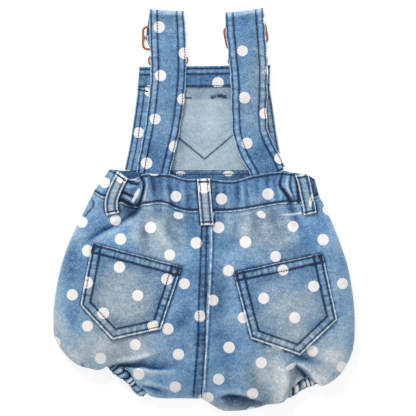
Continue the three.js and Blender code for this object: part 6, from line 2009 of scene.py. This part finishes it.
@dataclass
class LegCasing:
    """One gathered leg casing with elastic in it, pressed flat."""

    side: str
    around: int = 300
    columns: int = 16
    width: float = 10
    middle: float = 5.9
    half_height: float = 4.8
    flat: Pair = (0.16, 0.0105)
    grid: Array | None = None

    def cloth(self) -> Cloth:
        """Shapes the ring, with its pleats."""
        x0, y0, x1, y1 = CASINGS[self.side]
        length = math.hypot(x1 - x0, y1 - y0)
        along = np.array([(x1 - x0) / length, (y1 - y0) / length, 0])
        out = np.array([along[1], -along[0], 0])
        seed = 3.1 if self.side == "left" else 4.4
        angle = np.linspace(0, 2 * math.pi, self.around + 1)[:, None]
        share = np.linspace(0, 1, self.columns + 1)[None, :]
        place = length / 2 * np.cos(angle)
        uneven = 1.5 * np.sin(place / 3.7 + seed) + 0.7 * np.sin(place / 1.9 + 2 * seed)
        turn = (place + uneven + 5 * (share - 0.6) ** 2 + 3.4 * share) * 2 * math.pi / 6.4
        pleat = 2 * np.abs(np.sin(turn / 2)) ** 0.7 - 1
        pleat = pleat * (0.7 + 0.3 * np.sin(share * math.pi)) * (0.85 + 0.2 * np.sin(place / 2.7 + seed))
        puff = 0.9 * np.sin(share * math.pi)
        knot = 1.6 * bell(place - length / 2 + 7, 5.5) if self.side == "left" else np.zeros_like(place)
        rounding = np.sign(np.sin(angle)) * np.abs(np.sin(angle)) ** 0.7
        grid = np.array([(x0 + x1) / 2, (y0 + y1) / 2, self.middle])
        grid = grid + along * ((length / 2 + 0.4 * pleat) * np.cos(angle))[..., None]
        bulge = (share - 0.35) * (1.5 * pleat + 1.2 * np.sin(place / 4.3 + seed) + 1.4 * knot)
        grid = grid + out * (share * self.width + bulge)[..., None]
        grid[..., 2] += (self.half_height - 1.4 + 1.9 * pleat + puff + 0.7 * knot) * rounding
        self.grid = grid
        cloth = Cloth(f"casing_{self.side}", grid, DENIM, ring=True, flat=self.flat)
        shift = 0.25 if self.side == "right" else -0.25
        # painted highlights on the pleats' crests and painted shade in their valleys, shade painted where the
        # casing meets the panel, and paler along its outer edge
        light = 2.1 * (pleat + shift) - 2.4 * smooth((-0.1 - pleat) / 0.45) + 0.8 * np.sin(place / 2.1 + seed)
        light += 0.5 * bell(1 - share, 0.1) - 1.4 * bell(share, 0.12)
        cloth.light = limited(light)
        cloth.tone = np.full_like(light, 0.5 if self.side == "right" else 0)
        cloth.dots = net_gap(grid[..., :2], NET_TURN, (0, 0)) + NO_DOT
        return cloth

    def sew(self) -> None:
        """Sews the elastic's row and the seam's row round the upper half."""
        thread = Stitcher(f"stitches_casing_{self.side}", pitch=2.4, length=2.0)
        for row in (0.2, 0.85):
            thread.along(self.grid.transpose(1, 0, 2), row=row, part=(0.02, 0.48))
        thread.build(Finishes.thread)


def set_studio() -> None:
    """Makes the pale floor, the soft lights and the camera, which looks straight down as the photo does."""
    clear_choice()
    bpy.ops.mesh.primitive_plane_add(size=6, location=(0, 0, -FLOOR_DROP))
    floor = bpy.context.object
    floor.name = "studio_floor"
    paper = Shader("studio_paper")
    place = paper.objects()
    cloud = paper.step(paper.noise(place, 3, 2), -0.5, 0.5)
    grey = paper.blend(cloud, (0.3, 0.3, 0.3, 1), (0.32, 0.32, 0.32, 1))
    paper.dress({"Base Color": grey, "Roughness": 0.95})
    paper.dress({"Emission Color": (1, 1, 1, 1), "Emission Strength": 0.78})
    floor.data.materials.append(paper.material)
    world = bpy.data.worlds.new("studio")
    bpy.context.scene.world = world
    world.use_nodes = True
    world.node_tree.nodes["Background"].inputs[0].default_value = (1, 1, 1, 1)
    world.node_tree.nodes["Background"].inputs[1].default_value = 0.46
    for name, place, power, size in LAMPS:
        bpy.ops.object.light_add(type="AREA", location=place)
        light = bpy.context.object
        light.name = f"studio_{name}"
        light.data.energy = power
        light.data.size = size
        light.rotation_euler = (Vector(place)).to_track_quat("Z", "Y").to_euler()
    bpy.ops.object.camera_add(location=CAMERA_PLACE, rotation=(0, 0, 0))
    camera = bpy.context.object
    camera.name = "photo_camera"
    camera.data.sensor_width = SENSOR
    camera.data.lens = SENSOR * (CAMERA_PLACE[2] - CLOTH_HEIGHT) / PHOTO_WIDTH
    camera.data.clip_end = 20
    bpy.context.scene.camera = camera
    bpy.context.scene.view_settings.view_transform = "Standard"


def pocket_rows(corners: Table, edge: float, second: float, hem: float) -> list[Array]:
    """The plan lines of a patch pocket's topstitching: two rows round its sides, and its hem."""
    outline = points_of(corners)
    lines = []
    for gap in (edge, second):
        made = inset(outline, (0.6, gap, gap, gap, gap))
        lines.append(made[[0, 4, 3, 2, 1]])
    for gap in (hem, 1.7):
        made = inset(outline, (gap, 0.5, 1, 1, 0.5))
        lines.append(made[[0, 1]])
    return lines


def main() -> None:
    """Loads the frame, builds each sub-assembly in order and reports it."""
    logging.basicConfig(level=logging.INFO, format="%(name)s: %(message)s")
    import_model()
    Finishes.make()
    set_studio()
    for node in METAL:
        piece = bpy.data.objects[node]
        piece.data.materials.clear()
        piece.data.materials.append(Finishes.copper)
    seat, front, waist, bib = Seat(), Front(), Waist(), Bib()
    for side in ("left", "right"):
        seat.panel(side).build()
    ground = Ground(list(seat.grids.values()))
    for side in ("left", "right"):
        seat.pocket(side, ground).build()
        front.panel(side).build()
    front.band().build()
    waist.band().build()
    for name in BELT_LOOPS:
        waist.loop(name).build()
    for cloth in bib.pieces():
        cloth.build("denim_inside" if cloth.name == "bib" else "denim")
    bib.pocket().build()
    straps = {side: Strap(side) for side in ("left", "right")}
    casings = {side: LegCasing(side) for side in ("left", "right")}
    for side in ("left", "right"):
        straps[side].cloth().build()
        casings[side].cloth().build()
    for part in (seat, front, waist, bib, *straps.values(), *casings.values()):
        part.sew()


if __name__ == "__main__":
    main()
